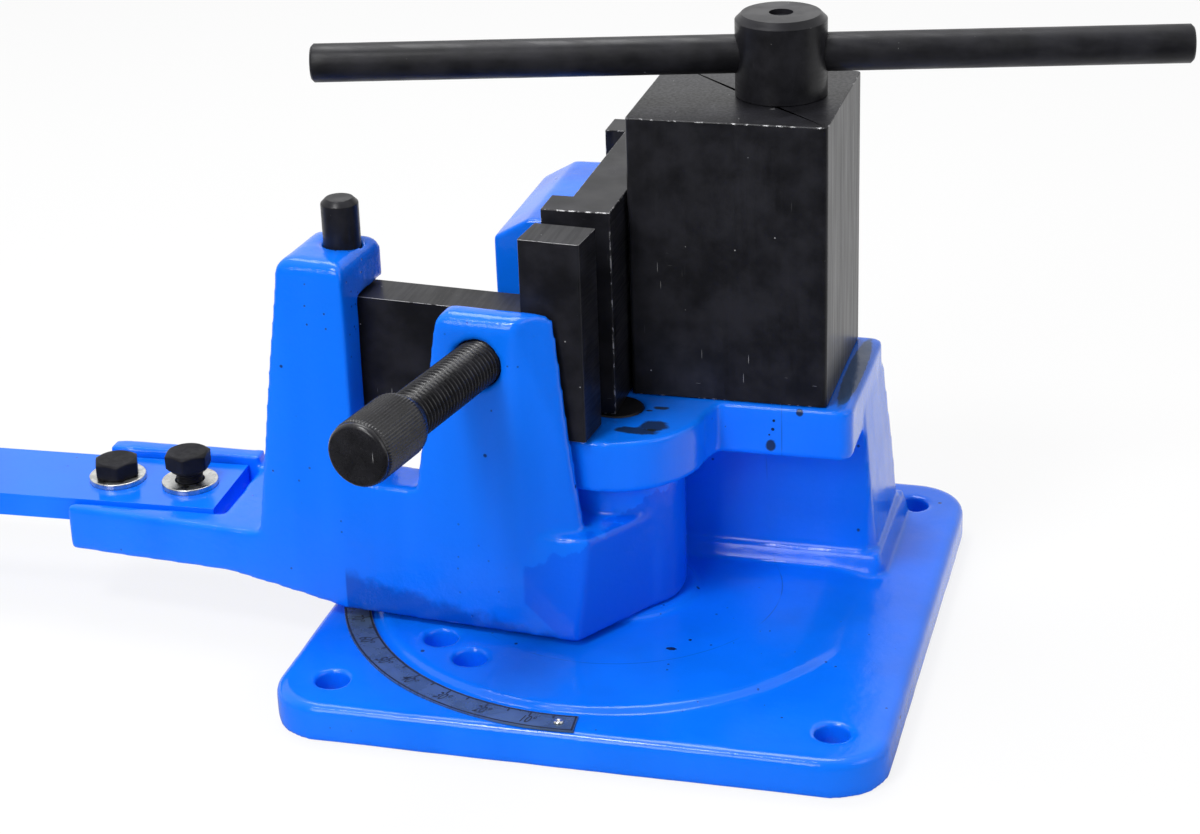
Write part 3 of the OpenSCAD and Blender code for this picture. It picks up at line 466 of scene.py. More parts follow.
def oxide_material(name, settings, tool_marks, rough=(0.30, 0.42), wear=0.45, scratch_share=0.26, grain=0.008,
                   gloss=0.24):
    """Oiled black oxide on milled or turned steel."""
    tree, shader = new_material(name)
    marks = use_group(tree, "machining", Scale=tool_marks)
    worn = use_group(tree, "edge_wear", Amount=wear)["Mask"]
    scratched = use_group(tree, "scratches", Share=scratch_share)["Mask"]
    coords = place_coords(tree)
    mottle = between(tree, cloud(tree, coords, 60, 4, 0.6), 0.3, 0.72)
    colour = blend(tree, mottle, scaled(settings.oxide_colour, 0.65), scaled(settings.oxide_colour, 1.7))
    speck = dots(tree, coords, 190, 0.07, 0.2)
    bare = calc(tree, "MAXIMUM", worn, times(tree, calc(tree, "MAXIMUM", scratched, speck), 0.75))
    set_shader(tree, shader, Base_Color=blend(tree, bare, colour, settings.worn_colour),
               Metallic=times(tree, worn, 0.8), Roughness=between(tree, marks["Tone"], 0, 1, *rough),
               Specular_IOR_Level=gloss)
    fine = times(tree, cloud(tree, coords, 1100, 3, 0.6), grain)
    set_bump(tree, shader, plus(tree, marks["Height"], fine))


def plated_material(name, colour, rough=(0.24, 0.4)):
    """Bright plated or plain metal with handling marks."""
    tree, shader = new_material(name)
    coords = place_coords(tree)
    dull = between(tree, cloud(tree, coords, 240, 4, 0.6), 0.3, 0.7)
    scratched = use_group(tree, "scratches", Share=0.3)["Mask"]
    set_shader(tree, shader, Base_Color=blend(tree, dull, scaled(colour, 0.75), colour),
               Roughness=between(tree, dull, 0, 1, *rough), Metallic=1.0)
    set_bump(tree, shader, times(tree, scratched, -0.01))


def dial_material(name, settings):
    """Satin grey-blue plate with rub marks."""
    tree, shader = new_material(name)
    coords = place_coords(tree)
    rub = between(tree, cloud(tree, coords, 70, 5, 0.65), 0.35, 0.7)
    scratched = use_group(tree, "scratches", Share=0.35)["Mask"]
    colour = blend(tree, rub, scaled(settings.plate_colour, 0.75), scaled(settings.plate_colour, 1.25))
    colour = blend(tree, times(tree, scratched, 0.5), colour, (0.5, 0.55, 0.6))
    set_shader(tree, shader, Base_Color=colour, Roughness=between(tree, rub, 0, 1, 0.24, 0.4),
               Metallic=between(tree, rub, 0, 1, 0.35, 0.55))
    set_bump(tree, shader, times(tree, cloud(tree, coords, 500, 3), 0.012))


def ink_material(name, colour):
    """Printed ink with slightly uneven cover."""
    tree, shader = new_material(name)
    cover = between(tree, cloud(tree, place_coords(tree), 900, 3), 0.3, 0.7)
    set_shader(tree, shader, Base_Color=blend(tree, cover, scaled(colour, 0.6), scaled(colour, 1.8)),
               Roughness=between(tree, cover, 0, 1, 0.4, 0.6))


def make_materials(settings):
    """All node groups, then all materials by name."""
    make_casting_skin()
    make_edge_wear()
    make_scratches()
    make_machining()
    make_stain_spot()
    make_ring_mark()
    enamel, steel = settings.enamel, settings.steel
    enamel_material("base_enamel", enamel, peel=0.08, marks=base_marks(enamel))
    # the arm gets painted shade low on its front and a darker front corner
    enamel_material("arm_enamel", enamel, runs=0.16, peel=0.13, pit_share=0.4, marks=arm_shade_and_corner(enamel))
    enamel_material("lever_enamel", enamel, runs=0.03, peel=0.035, pit_share=0.14)
    oxide_material("block_oxide", steel, (700, 700, 14), scratch_share=0.34)
    oxide_material("jaw_oxide", steel, (30, 30, 800), wear=0.55, scratch_share=0.36, gloss=0.2)
    oxide_material("die_oxide", steel, (500, 24, 700), wear=0.8, scratch_share=0.4, gloss=0.18)
    oxide_material("turned_oxide", steel, (60, 60, 900), rough=(0.28, 0.4), wear=0.3, scratch_share=0.06)
    oxide_material("bar_oxide", steel, (40, 300, 300), rough=(0.34, 0.5), wear=0.2, scratch_share=0.05, grain=0.03)
    oxide_material("screw_oxide", steel, (400, 400, 400), rough=(0.2, 0.32), wear=0.16, scratch_share=0.04,
                   gloss=0.42)
    oxide_material("bolt_oxide", steel, (300, 300, 300), rough=(0.4, 0.55), wear=0.2, scratch_share=0.1, gloss=0.08)
    plated_material("zinc_plate", steel.zinc_colour)
    plated_material("bronze_plain", steel.bronze_colour, rough=(0.3, 0.45))
    dial_material("dial_plate", settings.dial)
    ink_material("dial_ink", settings.dial.ink_colour)


# Meshes

def welded(node_name):
    """The CAD node's mesh with its split vertices joined."""
    bm = bmesh.new()
    bm.from_mesh(frame["nodes"][node_name].data)
    bmesh.ops.remove_doubles(bm, verts=bm.verts, dist=WELD)
    return bm


def finished_mesh(bm, name, material):
    """A smooth-shaded mesh with its material, from a bmesh that is then freed."""
    mesh = bpy.data.meshes.new(name)
    bm.to_mesh(mesh)
    bm.free()
    mesh.shade_smooth()
    mesh.materials.append(bpy.data.materials[material])
    return mesh


def add_piece(name, mesh, body, slot, *replaced):
    """Links a mesh as a piece that moves with a body and stands for CAD nodes."""
    piece = bpy.data.objects.new(name, mesh)
    bpy.context.scene.collection.objects.link(piece)
    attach(piece, body)
    if replaced:
        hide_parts(*replaced)
    return piece


def flat_piece(name, bm, material, body, slot, node_name):
    """A piece whose flat faces stay flat beside its round edges."""
    piece = add_piece(name, finished_mesh(bm, name, material), body, slot, node_name)
    piece.modifiers.new("flat faces", "WEIGHTED_NORMAL").keep_sharp = True


def evaluated(holder):
    """The mesh of an object after its modifiers."""
    depsgraph = bpy.context.evaluated_depsgraph_get()
    return bpy.data.meshes.new_from_object(holder.evaluated_get(depsgraph), depsgraph=depsgraph)


def cast_mesh(node_name, settings, passes):
    """The CAD node as a sand casting: round edges, filled corners and slightly wavy faces."""
    bm = welded(node_name)
    rough = bpy.data.meshes.new("pattern")
    bm.to_mesh(rough)
    bm.free()
    holder = bpy.data.objects.new("pattern", rough)
    bpy.context.scene.collection.objects.link(holder)
    grid = holder.modifiers.new("grid", "REMESH")
    grid.mode = "VOXEL"
    grid.voxel_size = settings.mesh_step
    soften = holder.modifiers.new("soften", "SMOOTH")
    soften.factor = 0.5
    soften.iterations = passes
    formed = evaluated(holder)
    moved = []
    for point, normal in [(vertex.co.copy(), vertex.normal.copy()) for vertex in formed.vertices]:
        wave = noise.noise(point * LONG_WAVE) + 0.5 * noise.noise(point * SHORT_WAVE)
        moved.extend(point + normal * wave * settings.unevenness)
    formed.vertices.foreach_set("co", moved)
    holder.modifiers.clear()
    holder.data = formed
    thin = holder.modifiers.new("thin", "DECIMATE")
    thin.ratio = min(1.0, settings.face_limit / (2 * len(formed.polygons)))
    mesh = evaluated(holder)
    bpy.data.objects.remove(holder)
    bpy.data.meshes.remove(formed)
    bpy.data.meshes.remove(rough)
    return mesh


def cast_piece(name, node_name, body, material, settings, passes):
    """A casting that stands for its CAD node."""
    mesh = cast_mesh(node_name, settings, passes)
    mesh.name = name
    mesh.materials.clear()
    mesh.materials.append(bpy.data.materials[material])
    mesh.shade_smooth()
    add_piece(name, mesh, body, "blue_enamel", node_name)


def milled_piece(name, node_name, body, slot, material, width, steps=2):
    """The CAD node with broken edges; the broken edges are marked for wear."""
    bm = welded(node_name)
    bmesh.ops.dissolve_limit(bm, angle_limit=LEVEL_ANGLE, verts=bm.verts, edges=bm.edges, delimit={"NORMAL"})
    mark = bm.faces.layers.float.new("edge")
    sharp = [edge for edge in bm.edges
             if edge.is_manifold and edge.is_convex and edge.calc_face_angle(0) > SHARP_ANGLE]
    broken = bmesh.ops.bevel(bm, geom=sharp, offset=width, offset_type="OFFSET", segments=steps, profile=0.5,
                             affect="EDGES", clamp_overlap=True, loop_slide=True)
    for face in broken["faces"]:
        face[mark] = 1.0
    flat_piece(name, bm, material, body, slot, node_name)


def upright(point, direction=UP):
    """A frame at a point whose Z axis lies along a direction."""
    z = Vector(direction).normalized()
    x = Vector((1, 0, 0)) if abs(z.z) > 0.9 else UP.cross(z).normalized()
    return Matrix.Translation(point) @ Matrix((x, z.cross(x), z)).transposed().to_4x4()


def skin(rows, count, place, worn=(), ring=False, bm=None):
    """Joins rows of points round an axis into a skin. A row is a height and a radius, or a radius at each angle.
    A radius of 0 closes an end, ring joins the last row to the first, and bm takes a second skin."""
    if bm is None:
        bm = bmesh.new()
    mark = bm.faces.layers.float.get("edge") or bm.faces.layers.float.new("edge")
    loops = []
    for height, radius in rows:
        if radius == 0:
            loops.append([bm.verts.new(place @ Vector((0, 0, height)))])
            continue
        loop = []
        for step in range(count):
            angle = math.tau * step / count
            r = radius(angle) if callable(radius) else radius
            loop.append(bm.verts.new(place @ Vector((r * math.cos(angle), r * math.sin(angle), height))))
        loops.append(loop)
    pairs = list(zip(loops, loops[1:]))
    if ring:
        pairs.append((loops[-1], loops[0]))
    for index, (low, high) in enumerate(pairs):
        for step in range(count):
            after = (step + 1) % count
            if len(low) == 1:
                corners = [low[0], high[after], high[step]]
            elif len(high) == 1:
                corners = [low[step], low[after], high[0]]
            else:
                corners = [low[step], low[after], high[after], high[step]]
            bm.faces.new(corners)[mark] = 1.0 if index in worn else 0.0
    return bm


def crest(height, angle, major, pitch, depth):
    """Radius of a screw thread at a height and an angle."""
    along = abs(2 * ((height / pitch - angle / math.tau) % 1.0) - 1)
    return major - depth * min(1.0, max(0.0, 1.25 * along - 0.1))


def thread_rows(low, high, major, pitch):
    """Rows of a thread that runs out at both ends."""
    count = max(8, round((high - low) / (pitch / 8)))
    rows = []
    for step in range(count + 1):
        height = low + (high - low) * step / count
        fade = min(1.0, (height - low) / pitch, (high - height) / pitch)
        depth = THREAD_DEPTH * pitch * max(0.0, fade)
        rows.append((height, lambda angle, h=height, d=depth: crest(h, angle, major, pitch, d)))
    return rows


def hexagon(flats, limit=None):
    """Radius of a hexagon at an angle, with its corners cut to a limit."""
    def radius(angle):
        r = flats / 2 / math.cos((angle + math.pi / 6) % (math.pi / 3) - math.pi / 6)
        return min(r, limit) if limit else r
    return radius


def centre(node_name):
    low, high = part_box(node_name)
    return (low + high) / 2


def dress(material, *node_names):
    """Gives CAD nodes that stay a finished material."""
    for name in node_names:
        mesh = frame["nodes"][name].data
        mesh.materials.clear()
        mesh.materials.append(bpy.data.materials[material])


# Operators

class BARBENDER_OT_materials(bpy.types.Operator):
    """Makes the enamel, steel, plating and dial materials that the other steps use"""
    bl_idname = "barbender.materials"
    bl_label = "Materials"

    def execute(self, context):
        make_materials(context.scene.bar_bender)
        return {"FINISHED"}


class BARBENDER_OT_castings(bpy.types.Operator):
    """Forms the base and the swing arm as enamelled castings"""
    bl_idname = "barbender.castings"
    bl_label = "Castings"

    def execute(self, context):
        enamel = context.scene.bar_bender.enamel
        cast_piece("cast_base", "base_casting", "base", "base_enamel", enamel, enamel.base_softness)
        cast_piece("cast_arm", "swing_arm", "arm", "arm_enamel", enamel, enamel.arm_softness)
        return {"FINISHED"}


class BARBENDER_OT_lever(bpy.types.Operator):
    """Forms the flat lever with rounded rolled edges"""
    bl_idname = "barbender.lever"
    bl_label = "Lever"

    def execute(self, context):
        milled_piece("painted_lever", "lever_bar", "arm", "blue_enamel", "lever_enamel", 0.9 * MM, 3)
        return {"FINISHED"}


class BARBENDER_OT_steel(bpy.types.Operator):
    """Forms the milled steel: clamp block, fixed jaw, jaw screws, die carrier and die"""
    bl_idname = "barbender.steel"
    bl_label = "Milled Steel"

    def execute(self, context):
        edge = context.scene.bar_bender.steel.edge
        slot = "black_oxide_steel"
        milled_piece("milled_block", "clamp_block", "block", slot, "block_oxide", edge)
        milled_piece("milled_jaw", "fixed_jaw", "base", slot, "jaw_oxide", edge)
        milled_piece("milled_carrier", "die_carrier", "carrier", slot, "die_oxide", edge)
        milled_piece("milled_die", "bending_die", "carrier", slot, "die_oxide", edge)
        for i in (1, 2):
            milled_piece(f"socket_screw_{i}", f"jaw_screw_{i}", "base", slot, "bolt_oxide", 0.4 * MM)
        return {"FINISHED"}


class BARBENDER_OT_handle(bpy.types.Operator):
    """Forms the T-handle: hub with eccentric shaft, bar and grub screw"""
    bl_idname = "barbender.handle"
    bl_label = "Handle"

    def execute(self, context):
        slot = "black_oxide_steel"
        milled_piece("handle_hub", "cam_shaft", "handle", slot, "turned_oxide", 0.35 * MM)
        milled_piece("hub_grub", "handle_grub", "handle", slot, "bolt_oxide", 0.25 * MM)
        low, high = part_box("handle_bar")
        radius = (high.z - low.z) / 2
        along = Vector((high.x - low.x, high.y - low.y, 0))
        angle = math.atan2(along.y - 2 * radius * math.cos(math.atan2(along.y, along.x)), along.x)
        length = (along.x - 2 * radius * math.sin(angle)) / math.cos(angle)
        place = upright((low + high) / 2, (math.cos(angle), math.sin(angle), 0))
        half, edge = length / 2, 1.2 * MM
        rows = [(-half, 0), (-half, radius - 2.5 * edge), (-half, radius - edge), (-half + edge, radius)]
        rows += [(-half + edge + (length - 2 * edge) * i / 60, radius - 0.00002 * (i % 2)) for i in range(1, 60)]
        rows += [(half - edge, radius), (half, radius - edge), (half, radius - 2.5 * edge), (half, 0)]
        bm = skin(rows, 64, place, worn=(2, len(rows) - 4))
        flat_piece("turned_bar", bm, "bar_oxide", "handle", slot, "handle_bar")
        return {"FINISHED"}


class BARBENDER_OT_pins(bpy.types.Operator):
    """Forms the hinge pin and the pivot pin with turned ends"""
    bl_idname = "barbender.pins"
    bl_label = "Pins"

    def execute(self, context):
        for name, node_name, body, chamfer in (("turned_hinge_pin", "hinge_pin", "arm", 2.0 * MM),
                                               ("turned_pivot_pin", "pivot_pin", "base", 0.8 * MM)):
            low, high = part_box(node_name)
            middle = (low + high) / 2
            radius = (high.x - low.x) / 2
            place = upright((middle.x, middle.y, 0))
            soft = chamfer / 4
            rows = [(low.z, 0), (low.z, radius - chamfer), (low.z + chamfer, radius)]
            rows += [(high.z - chamfer - soft, radius), (high.z - chamfer, radius - soft / 3),
                     (high.z - soft / 3, radius - chamfer), (high.z, radius - chamfer - soft),
                     (high.z - 0.15 * MM, radius * 0.3), (high.z - 0.3 * MM, 0)]
            bm = skin(rows, 64, place, worn=(3, 5))
            flat_piece(name, bm, "turned_oxide", body, "black_oxide_steel", node_name)
        return {"FINISHED"}


class BARBENDER_OT_adjusting_screw(bpy.types.Operator):
    """Forms the adjusting screw with its thread and knurled head, and the foot on its end"""
    bl_idname = "barbender.adjusting_screw"
    bl_label = "Adjusting Screw"

    def execute(self, context):
        screw = context.scene.bar_bender.screw
        place = upright(SCREW_POINT, SCREW_AXIS)
        major, head = screw.thread_d / 2, screw.head_d / 2
        start, end = -screw.reach - 2 * MM, screw.thread_end
        rows = [(start, 0)] + thread_rows(start, end, major, screw.pitch)
        bm = skin(rows + [(end, 3.5 * MM), (end + 3 * MM, 3.4 * MM), (end + 3 * MM, 0)], 96, place)
        low = -screw.reach - screw.head_len

        def knurl(depth):
            return lambda angle: head - depth * (0.5 - 0.5 * math.cos(screw.flutes * angle)) ** 0.7
        deep = 0.45 * MM
        rows = [(low, 0), (low, head - 2.2 * MM), (low + 0.3 * MM, head - 1.3 * MM),
                (low + 1.3 * MM, head - 0.5 * MM), (low + 2.2 * MM, head - 0.4 * MM),
                (low + 2.6 * MM, head - 0.9 * MM), (low + 3.0 * MM, head - 0.9 * MM),
                (low + 3.6 * MM, knurl(deep * 0.5)), (low + 4.4 * MM, knurl(deep)), (low + 16 * MM, knurl(deep)),
                (-screw.reach - 7.5 * MM, knurl(deep)), (-screw.reach - 6.2 * MM, knurl(deep * 0.6)),
                (-screw.reach - 4.6 * MM, head - 0.35 * MM), (-screw.reach - 2.8 * MM, head - 1.4 * MM),
                (-screw.reach - 1.2 * MM, head - 2.9 * MM), (-screw.reach - 0.2 * MM, major + 0.3 * MM),
                (-screw.reach, 0)]
        skin(rows, screw.flutes * 6, place, worn=(2,), bm=bm)
        flat_piece("knurled_screw", bm, "screw_oxide", "screw", "black_oxide_steel", "adjusting_screw")
        tip, base, radius, dome = 16.28 * MM, end + 0.3 * MM, major - MM, 4.6 * MM
        rows = [(base + 3 * MM, 0), (base + 3 * MM, 3.8 * MM), (base, 3.8 * MM), (base, radius - 0.5 * MM),
                (base + 0.5 * MM, radius), (tip - dome, radius)]
        rows += [(tip - dome * (1 - math.sin(math.radians(a))), radius * math.cos(math.radians(a)))
                 for a in (20, 40, 60, 80)]
        bm = skin(rows + [(tip, 0)], 48, place)
        add_piece("turned_foot", finished_mesh(bm, "turned_foot", "zinc_plate"), "foot", "zinc_steel", "screw_foot")
        return {"FINISHED"}


class BARBENDER_OT_bolts(bpy.types.Operator):
    """Forms the two hexagon bolts of the lever with their washers"""
    bl_idname = "barbender.bolts"
    bl_label = "Lever Bolts"

    def execute(self, context):
        screw = context.scene.bar_bender.screw
        for i, turn in ((1, 8), (2, 24)):
            low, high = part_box(f"lever_bolt_{i}")
            spot = centre(f"lever_bolt_{i}")
            place = upright((spot.x, spot.y, 0)) @ Euler((0, 0, math.radians(turn))).to_matrix().to_4x4()
            seat, flats = high.z - screw.bolt_head, screw.bolt_af
            corner, rim = flats / math.sqrt(3), flats / 2 - 0.5 * MM
            rows = [(seat - MM, 0), (seat - MM, flats / 2 - 0.9 * MM), (seat + 0.3 * MM, flats / 2 - 0.7 * MM),
                    (seat + 0.31 * MM, hexagon(flats, flats / 2 + 0.5 * MM)),
                    (seat + 0.9 * MM, hexagon(flats, corner - 0.2 * MM))]
            slope = math.tan(HEAD_SLOPE)
            for cut in (0.0, 0.35, 0.7, 1.0):
                limit = corner - (corner - rim) * cut
                rows.append((high.z - (limit - rim) * slope - 0.15 * MM, hexagon(flats - 0.12 * MM * cut, limit)))
            rows += [(high.z - 0.02 * MM, rim - 0.4 * MM), (high.z - 0.1 * MM, rim - 2.2 * MM),
                     (high.z - 0.1 * MM, 0)]
            bm = skin(rows, 96, place, worn=(6, 7, 8))
            rows = [(low.z, 0)] + thread_rows(low.z, seat, screw.bolt_d / 2, screw.bolt_pitch) + [(seat, 0)]
            skin(rows, 48, place, bm=bm)
            flat_piece(f"hex_bolt_{i}", bm, "bolt_oxide", "arm", "black_oxide_steel", f"lever_bolt_{i}")
            low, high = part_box(f"lever_washer_{i}")
            spot = centre(f"lever_washer_{i}")
            outer, inner, soft = (high.x - low.x) / 2, screw.bolt_d / 2 + 0.5 * MM, 0.5 * MM
            rows = [(low.z, inner), (low.z, outer - 0.2 * MM), (low.z + 0.2 * MM, outer), (high.z - soft, outer),
                    (high.z - soft / 3, outer - soft / 3), (high.z, outer - soft), (high.z, inner + soft / 2),
                    (high.z - soft / 2, inner)]
            bm = skin(rows, 72, upright((spot.x, spot.y, 0)), ring=True)
            flat_piece(f"flat_washer_{i}", bm, "zinc_plate", "arm", "zinc_steel", f"lever_washer_{i}")
        return {"FINISHED"}


def arc_strip(bm, inner, outer, start, end, height, count):
    """A flat strip along an arc round the pivot."""
    before = None
    for step in range(count + 1):
        angle = start + (end - start) * step / count
        ray = Vector((math.cos(angle), math.sin(angle), 0))
        pair = [bm.verts.new(Vector((PIVOT.x, PIVOT.y, height)) + ray * r) for r in (inner, outer)]
        if before:
            bm.faces.new([before[0], before[1], pair[1], pair[0]][::-1])
        before = pair


class BARBENDER_OT_dial(bpy.types.Operator):
    """Prints the lines and numbers of the angle dial and sets its rivets"""
    bl_idname = "barbender.dial"
    bl_label = "Angle Dial"

    def execute(self, context):
        dial = context.scene.bar_bender.dial
        dress("dial_plate", "angle_scale")
        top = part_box("angle_scale")[1].z + 0.03 * MM
        end = dial.zero - dial.span
        line, gap = 0.75 * MM, 0.35 * MM
        bm = bmesh.new()
        arc_strip(bm, dial.inner_r + gap, dial.inner_r + gap + line, dial.zero - 0.004, end + 0.004, top, 120)
        arc_strip(bm, dial.outer_r - gap - line, dial.outer_r - gap, dial.zero - 0.004, end + 0.004, top, 120)
        for side, inward in ((dial.zero, -1), (end, 1)):
            width = line / dial.inner_r
            arc_strip(bm, dial.inner_r + gap, dial.outer_r - gap, side + inward * 0.003,
                      side + inward * (0.003 + width), top, 2)
        for degree in range(5, 91, 5):
            angle = dial.zero - math.radians(degree)
            length = (2.8 if degree % 10 == 0 else 1.9) * MM
            half = 0.36 * MM / dial.inner_r
            foot = dial.inner_r + gap + line
            arc_strip(bm, foot, foot + length, angle - half, angle + half, top, 1)
        for degree in range(10, 91, 10):
            self.print_number(bm, f"{degree}°", dial.zero - math.radians(degree), dial, top)
        add_piece("dial_marks", finished_mesh(bm, "dial_marks", "dial_ink"), "base", "scale_plate")
        for i in (1, 2):
            low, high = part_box(f"scale_rivet_{i}")
            spot = centre(f"scale_rivet_{i}")
            radius = (high.x - low.x) / 2
            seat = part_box("angle_scale")[1].z
            rows = [(low.z, 0), (low.z, 1.0 * MM), (seat, 1.0 * MM), (seat, radius)]
            rows += [(seat + 0.3 * MM, radius), (seat + 0.7 * MM, radius * 0.86),
                     (high.z - 0.05 * MM, radius * 0.68), (high.z, radius * 0.52),
                     (high.z - 0.12 * MM, radius * 0.36), (high.z - 0.5 * MM, radius * 0.2),
                     (high.z - 0.6 * MM, 0)]
            bm = skin(rows, 48, upright((spot.x, spot.y, 0)))
            add_piece(f"dial_rivet_{i}", finished_mesh(bm, f"dial_rivet_{i}", "zinc_plate"), "base",
                      "zinc_steel", f"scale_rivet_{i}")
        return {"FINISHED"}

    def print_number(self, bm, text, angle, dial, height):
        """Adds a slanted number whose top points to the pivot."""
        curve = bpy.data.curves.new("number", "FONT")
        curve.body = text
        curve.size = dial.number_h
        curve.shear = 0.25
        curve.offset = 0.008 * dial.number_h
        curve.align_x = "CENTER"
        curve.align_y = "CENTER"
        curve.resolution_u = 6
        holder = bpy.data.objects.new("number", curve)
        bpy.context.scene.collection.objects.link(holder)
        mesh = evaluated(holder)
        spot = Vector((PIVOT.x + dial.number_r * math.cos(angle), PIVOT.y + dial.number_r * math.sin(angle),
                       height))
        turn = Matrix.Rotation(angle + math.pi / 2, 4, "Z")
        mesh.transform(Matrix.Translation(spot) @ turn @ Matrix.Diagonal((dial.number_stretch, 1, 1, 1)))
        bm.from_mesh(mesh)
        bpy.data.objects.remove(holder)
        bpy.data.curves.remove(curve)
        bpy.data.meshes.remove(mesh)


class BARBENDER_OT_inner_parts(bpy.types.Operator):
    """Finishes the bushes, washers and dowels inside the tool"""
    bl_idname = "barbender.inner_parts"
    bl_label = "Inner Parts"

    def execute(self, context):
        dress("bronze_plain", "pivot_bush", "cam_bush")
        dress("zinc_plate", "thrust_washer", "die_dowel_1", "die_dowel_2")
        return {"FINISHED"}


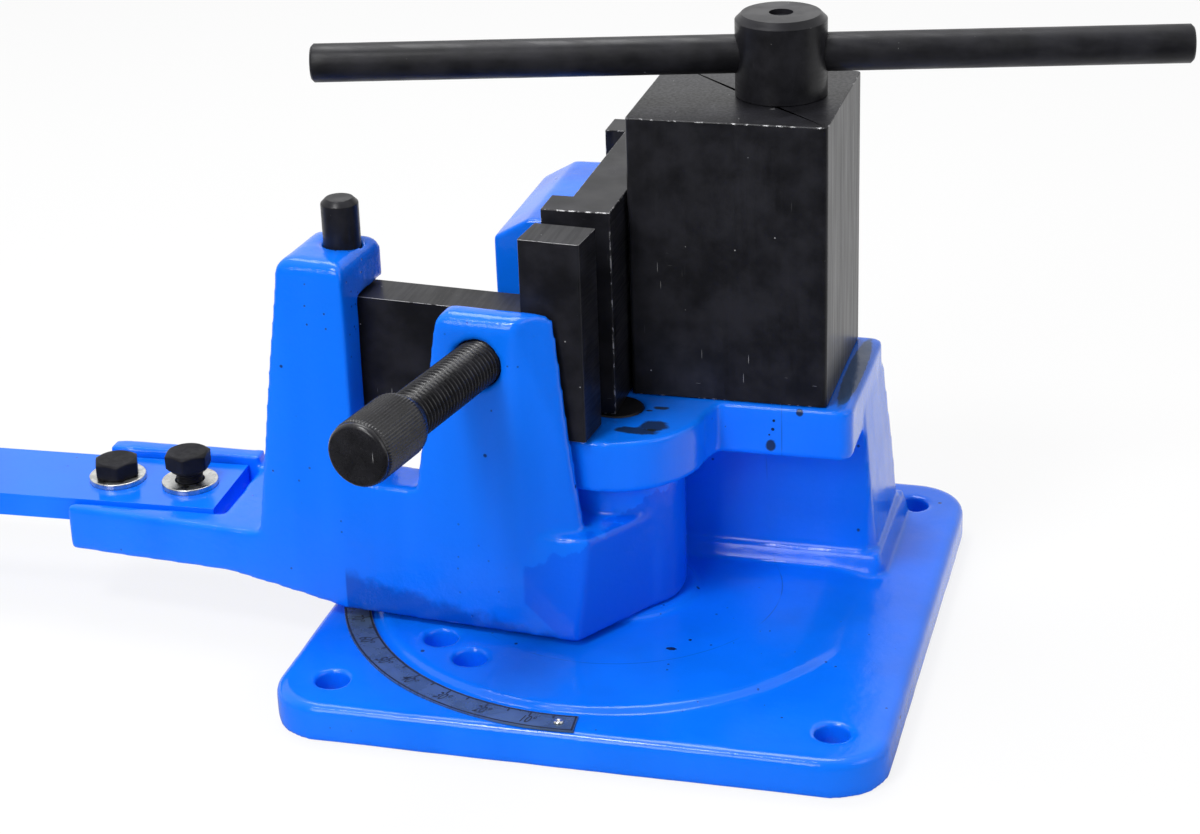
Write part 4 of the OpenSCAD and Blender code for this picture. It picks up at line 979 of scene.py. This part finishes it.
class BARBENDER_OT_stage(bpy.types.Operator):
    """Sets the floor, the soft studio light and the camera"""
    bl_idname = "barbender.stage"
    bl_label = "Stage"

    def execute(self, context):
        stage = context.scene.bar_bender.stage
        self.floor(context, stage)
        self.world(context, stage)
        self.lights(context, stage)
        self.camera(context)
        context.scene.view_settings.view_transform = "Standard"
        return {"FINISHED"}

    def seen(self, tree):
        """1 for rays that show the background: camera, glossy and transmission rays."""
        path = node(tree, "ShaderNodeLightPath").outputs
        seen = calc(tree, "MAXIMUM", path["Is Camera Ray"], path["Is Glossy Ray"])
        return calc(tree, "MAXIMUM", seen, path["Is Transmission Ray"])

    def floor(self, context, stage):
        bm = bmesh.new()
        bmesh.ops.create_grid(bm, x_segments=8, y_segments=8, size=6,
                              matrix=Matrix.Translation((0, 0, -0.0004)))
        mesh = bpy.data.meshes.new("studio_floor")
        bm.to_mesh(mesh)
        bm.free()
        material = bpy.data.materials.new("studio_floor")
        material.use_nodes = True
        tree = material.node_tree
        tree.nodes.clear()
        tone = between(tree, cloud(tree, place_coords(tree), 3, 2), 0.2, 0.8)
        colour = blend(tree, tone, scaled(stage.floor_colour, 0.985), stage.floor_colour)
        path = node(tree, "ShaderNodeLightPath").outputs
        away = node(tree, "ShaderNodeSeparateXYZ", {0: place_coords(tree)}).outputs[1]
        front = times(tree, path["Is Glossy Ray"], between(tree, away, 0.1, -0.2))
        colour = blend(tree, front, colour, (0.05, 0.05, 0.05))
        matt = node(tree, "ShaderNodeBsdfDiffuse", {"Color": colour})
        glow = node(tree, "ShaderNodeEmission", {"Color": (1, 1, 1, 1), "Strength": 1.0})
        share = times(tree, minus(tree, self.seen(tree), front), 0.86)
        mixed = node(tree, "ShaderNodeMixShader", {0: share, 1: matt.outputs[0], 2: glow.outputs[0]})
        node(tree, "ShaderNodeOutputMaterial", {"Surface": mixed.outputs[0]})
        mesh.materials.append(material)
        floor = bpy.data.objects.new("studio_floor", mesh)
        context.scene.collection.objects.link(floor)

    def world(self, context, stage):
        world = bpy.data.worlds.new("studio")
        world.use_nodes = True
        context.scene.world = world
        tree = world.node_tree
        tree.nodes.clear()
        facing = node(tree, "ShaderNodeTexCoord").outputs["Generated"]
        away = node(tree, "ShaderNodeSeparateXYZ", {0: facing}).outputs[1]
        behind = between(tree, away, -0.75, 0.1, 0.12, 1.0)
        backdrop = blend(tree, behind, (0, 0, 0), (1, 1, 1))
        soft = node(tree, "ShaderNodeBackground", {"Color": (1, 1, 1, 1), "Strength": stage.ambient})
        white = node(tree, "ShaderNodeBackground", {"Color": backdrop, "Strength": 1.0})
        mixed = node(tree, "ShaderNodeMixShader", {0: self.seen(tree), 1: soft.outputs[0], 2: white.outputs[0]})
        node(tree, "ShaderNodeOutputWorld", {"Surface": mixed.outputs[0]})

    def lights(self, context, stage):
        for name, spot, aim, size, power in (
                ("front_softbox", (-0.6, -1.8, 1.15), (0, 0, 0.08), 0.9, stage.front_power),
                ("top_softbox", (-0.37, -0.7, 1.3), (0, 0, 0.05), 0.3, stage.top_power),
                ("back_softbox", (-0.3, 0.5, 1.5), (0, 0, 0.1), 0.8, stage.back_power),
                ("side_softbox", (1.5, -0.5, 0.9), (0, 0, 0.1), 0.8, stage.side_power)):
            lamp = bpy.data.lights.new(name, "AREA")
            lamp.shape = "SQUARE"
            lamp.size = size
            lamp.energy = power
            holder = bpy.data.objects.new(name, lamp)
            context.scene.collection.objects.link(holder)
            holder.location = spot
            holder.rotation_euler = (Vector(aim) - Vector(spot)).to_track_quat("-Z", "Y").to_euler()

    def camera(self, context):
        """The camera, at the place and with the turn, lens and shift fitted to the picture."""
        right = Vector((0.965505, 0.258313, -0.032770))
        up = Vector((-0.076109, 0.400324, 0.913208))
        ahead = Vector((-0.249012, 0.879213, -0.406175))
        lens = bpy.data.cameras.new("camera")
        lens.sensor_fit = "HORIZONTAL"
        lens.sensor_width = 36.0
        lens.lens = lens.sensor_width * FOCAL_PX / PICTURE_W
        lens.shift_x = (PICTURE_W / 2 - AXIS_PX[0]) / PICTURE_W
        lens.shift_y = (AXIS_PX[1] - PICTURE_H / 2) / PICTURE_W
        lens.clip_start = 0.05
        holder = bpy.data.objects.new("camera", lens)
        holder.matrix_world = (Matrix.Translation((0.259422, -0.987102, 0.553508))
                               @ Matrix((right, up, -ahead)).transposed().to_4x4())
        context.scene.collection.objects.link(holder)
        context.scene.camera = holder


class BARBENDER_PT_panel(bpy.types.Panel):
    """Lists the steps that build the bar bender and their settings"""
    bl_idname = "BARBENDER_PT_panel"
    bl_label = "Bar Bender"
    bl_space_type = "VIEW_3D"
    bl_region_type = "UI"
    bl_category = "Bar Bender"

    def draw(self, context):
        settings = context.scene.bar_bender
        for group in (settings.enamel, settings.steel, settings.screw, settings.dial, settings.stage):
            box = self.layout.box()
            for key in group.bl_rna.properties.keys():
                if key not in ("rna_type", "name"):
                    box.prop(group, key)
        for step in OPERATORS:
            self.layout.operator(step.bl_idname)


OPERATORS = (
    BARBENDER_OT_materials, BARBENDER_OT_castings, BARBENDER_OT_lever, BARBENDER_OT_steel, BARBENDER_OT_handle,
    BARBENDER_OT_pins, BARBENDER_OT_adjusting_screw, BARBENDER_OT_bolts, BARBENDER_OT_dial,
    BARBENDER_OT_inner_parts, BARBENDER_OT_stage)
CLASSES = (EnamelSettings, SteelSettings, ScrewSettings, DialSettings, StageSettings, BarBenderSettings,
           *OPERATORS, BARBENDER_PT_panel)


def register():
    for cls in CLASSES:
        bpy.utils.register_class(cls)
    bpy.types.Scene.bar_bender = PointerProperty(type=BarBenderSettings)


def unregister():
    del bpy.types.Scene.bar_bender
    for cls in reversed(CLASSES):
        bpy.utils.unregister_class(cls)


def main():
    register()
    bpy.ops.barbender.materials()
    bpy.ops.barbender.castings()
    bpy.ops.barbender.lever()
    bpy.ops.barbender.steel()
    bpy.ops.barbender.handle()
    bpy.ops.barbender.pins()
    bpy.ops.barbender.adjusting_screw()
    bpy.ops.barbender.bolts()
    bpy.ops.barbender.dial()
    bpy.ops.barbender.inner_parts()
    bpy.ops.barbender.stage()


if __name__ == "__main__":
    main()
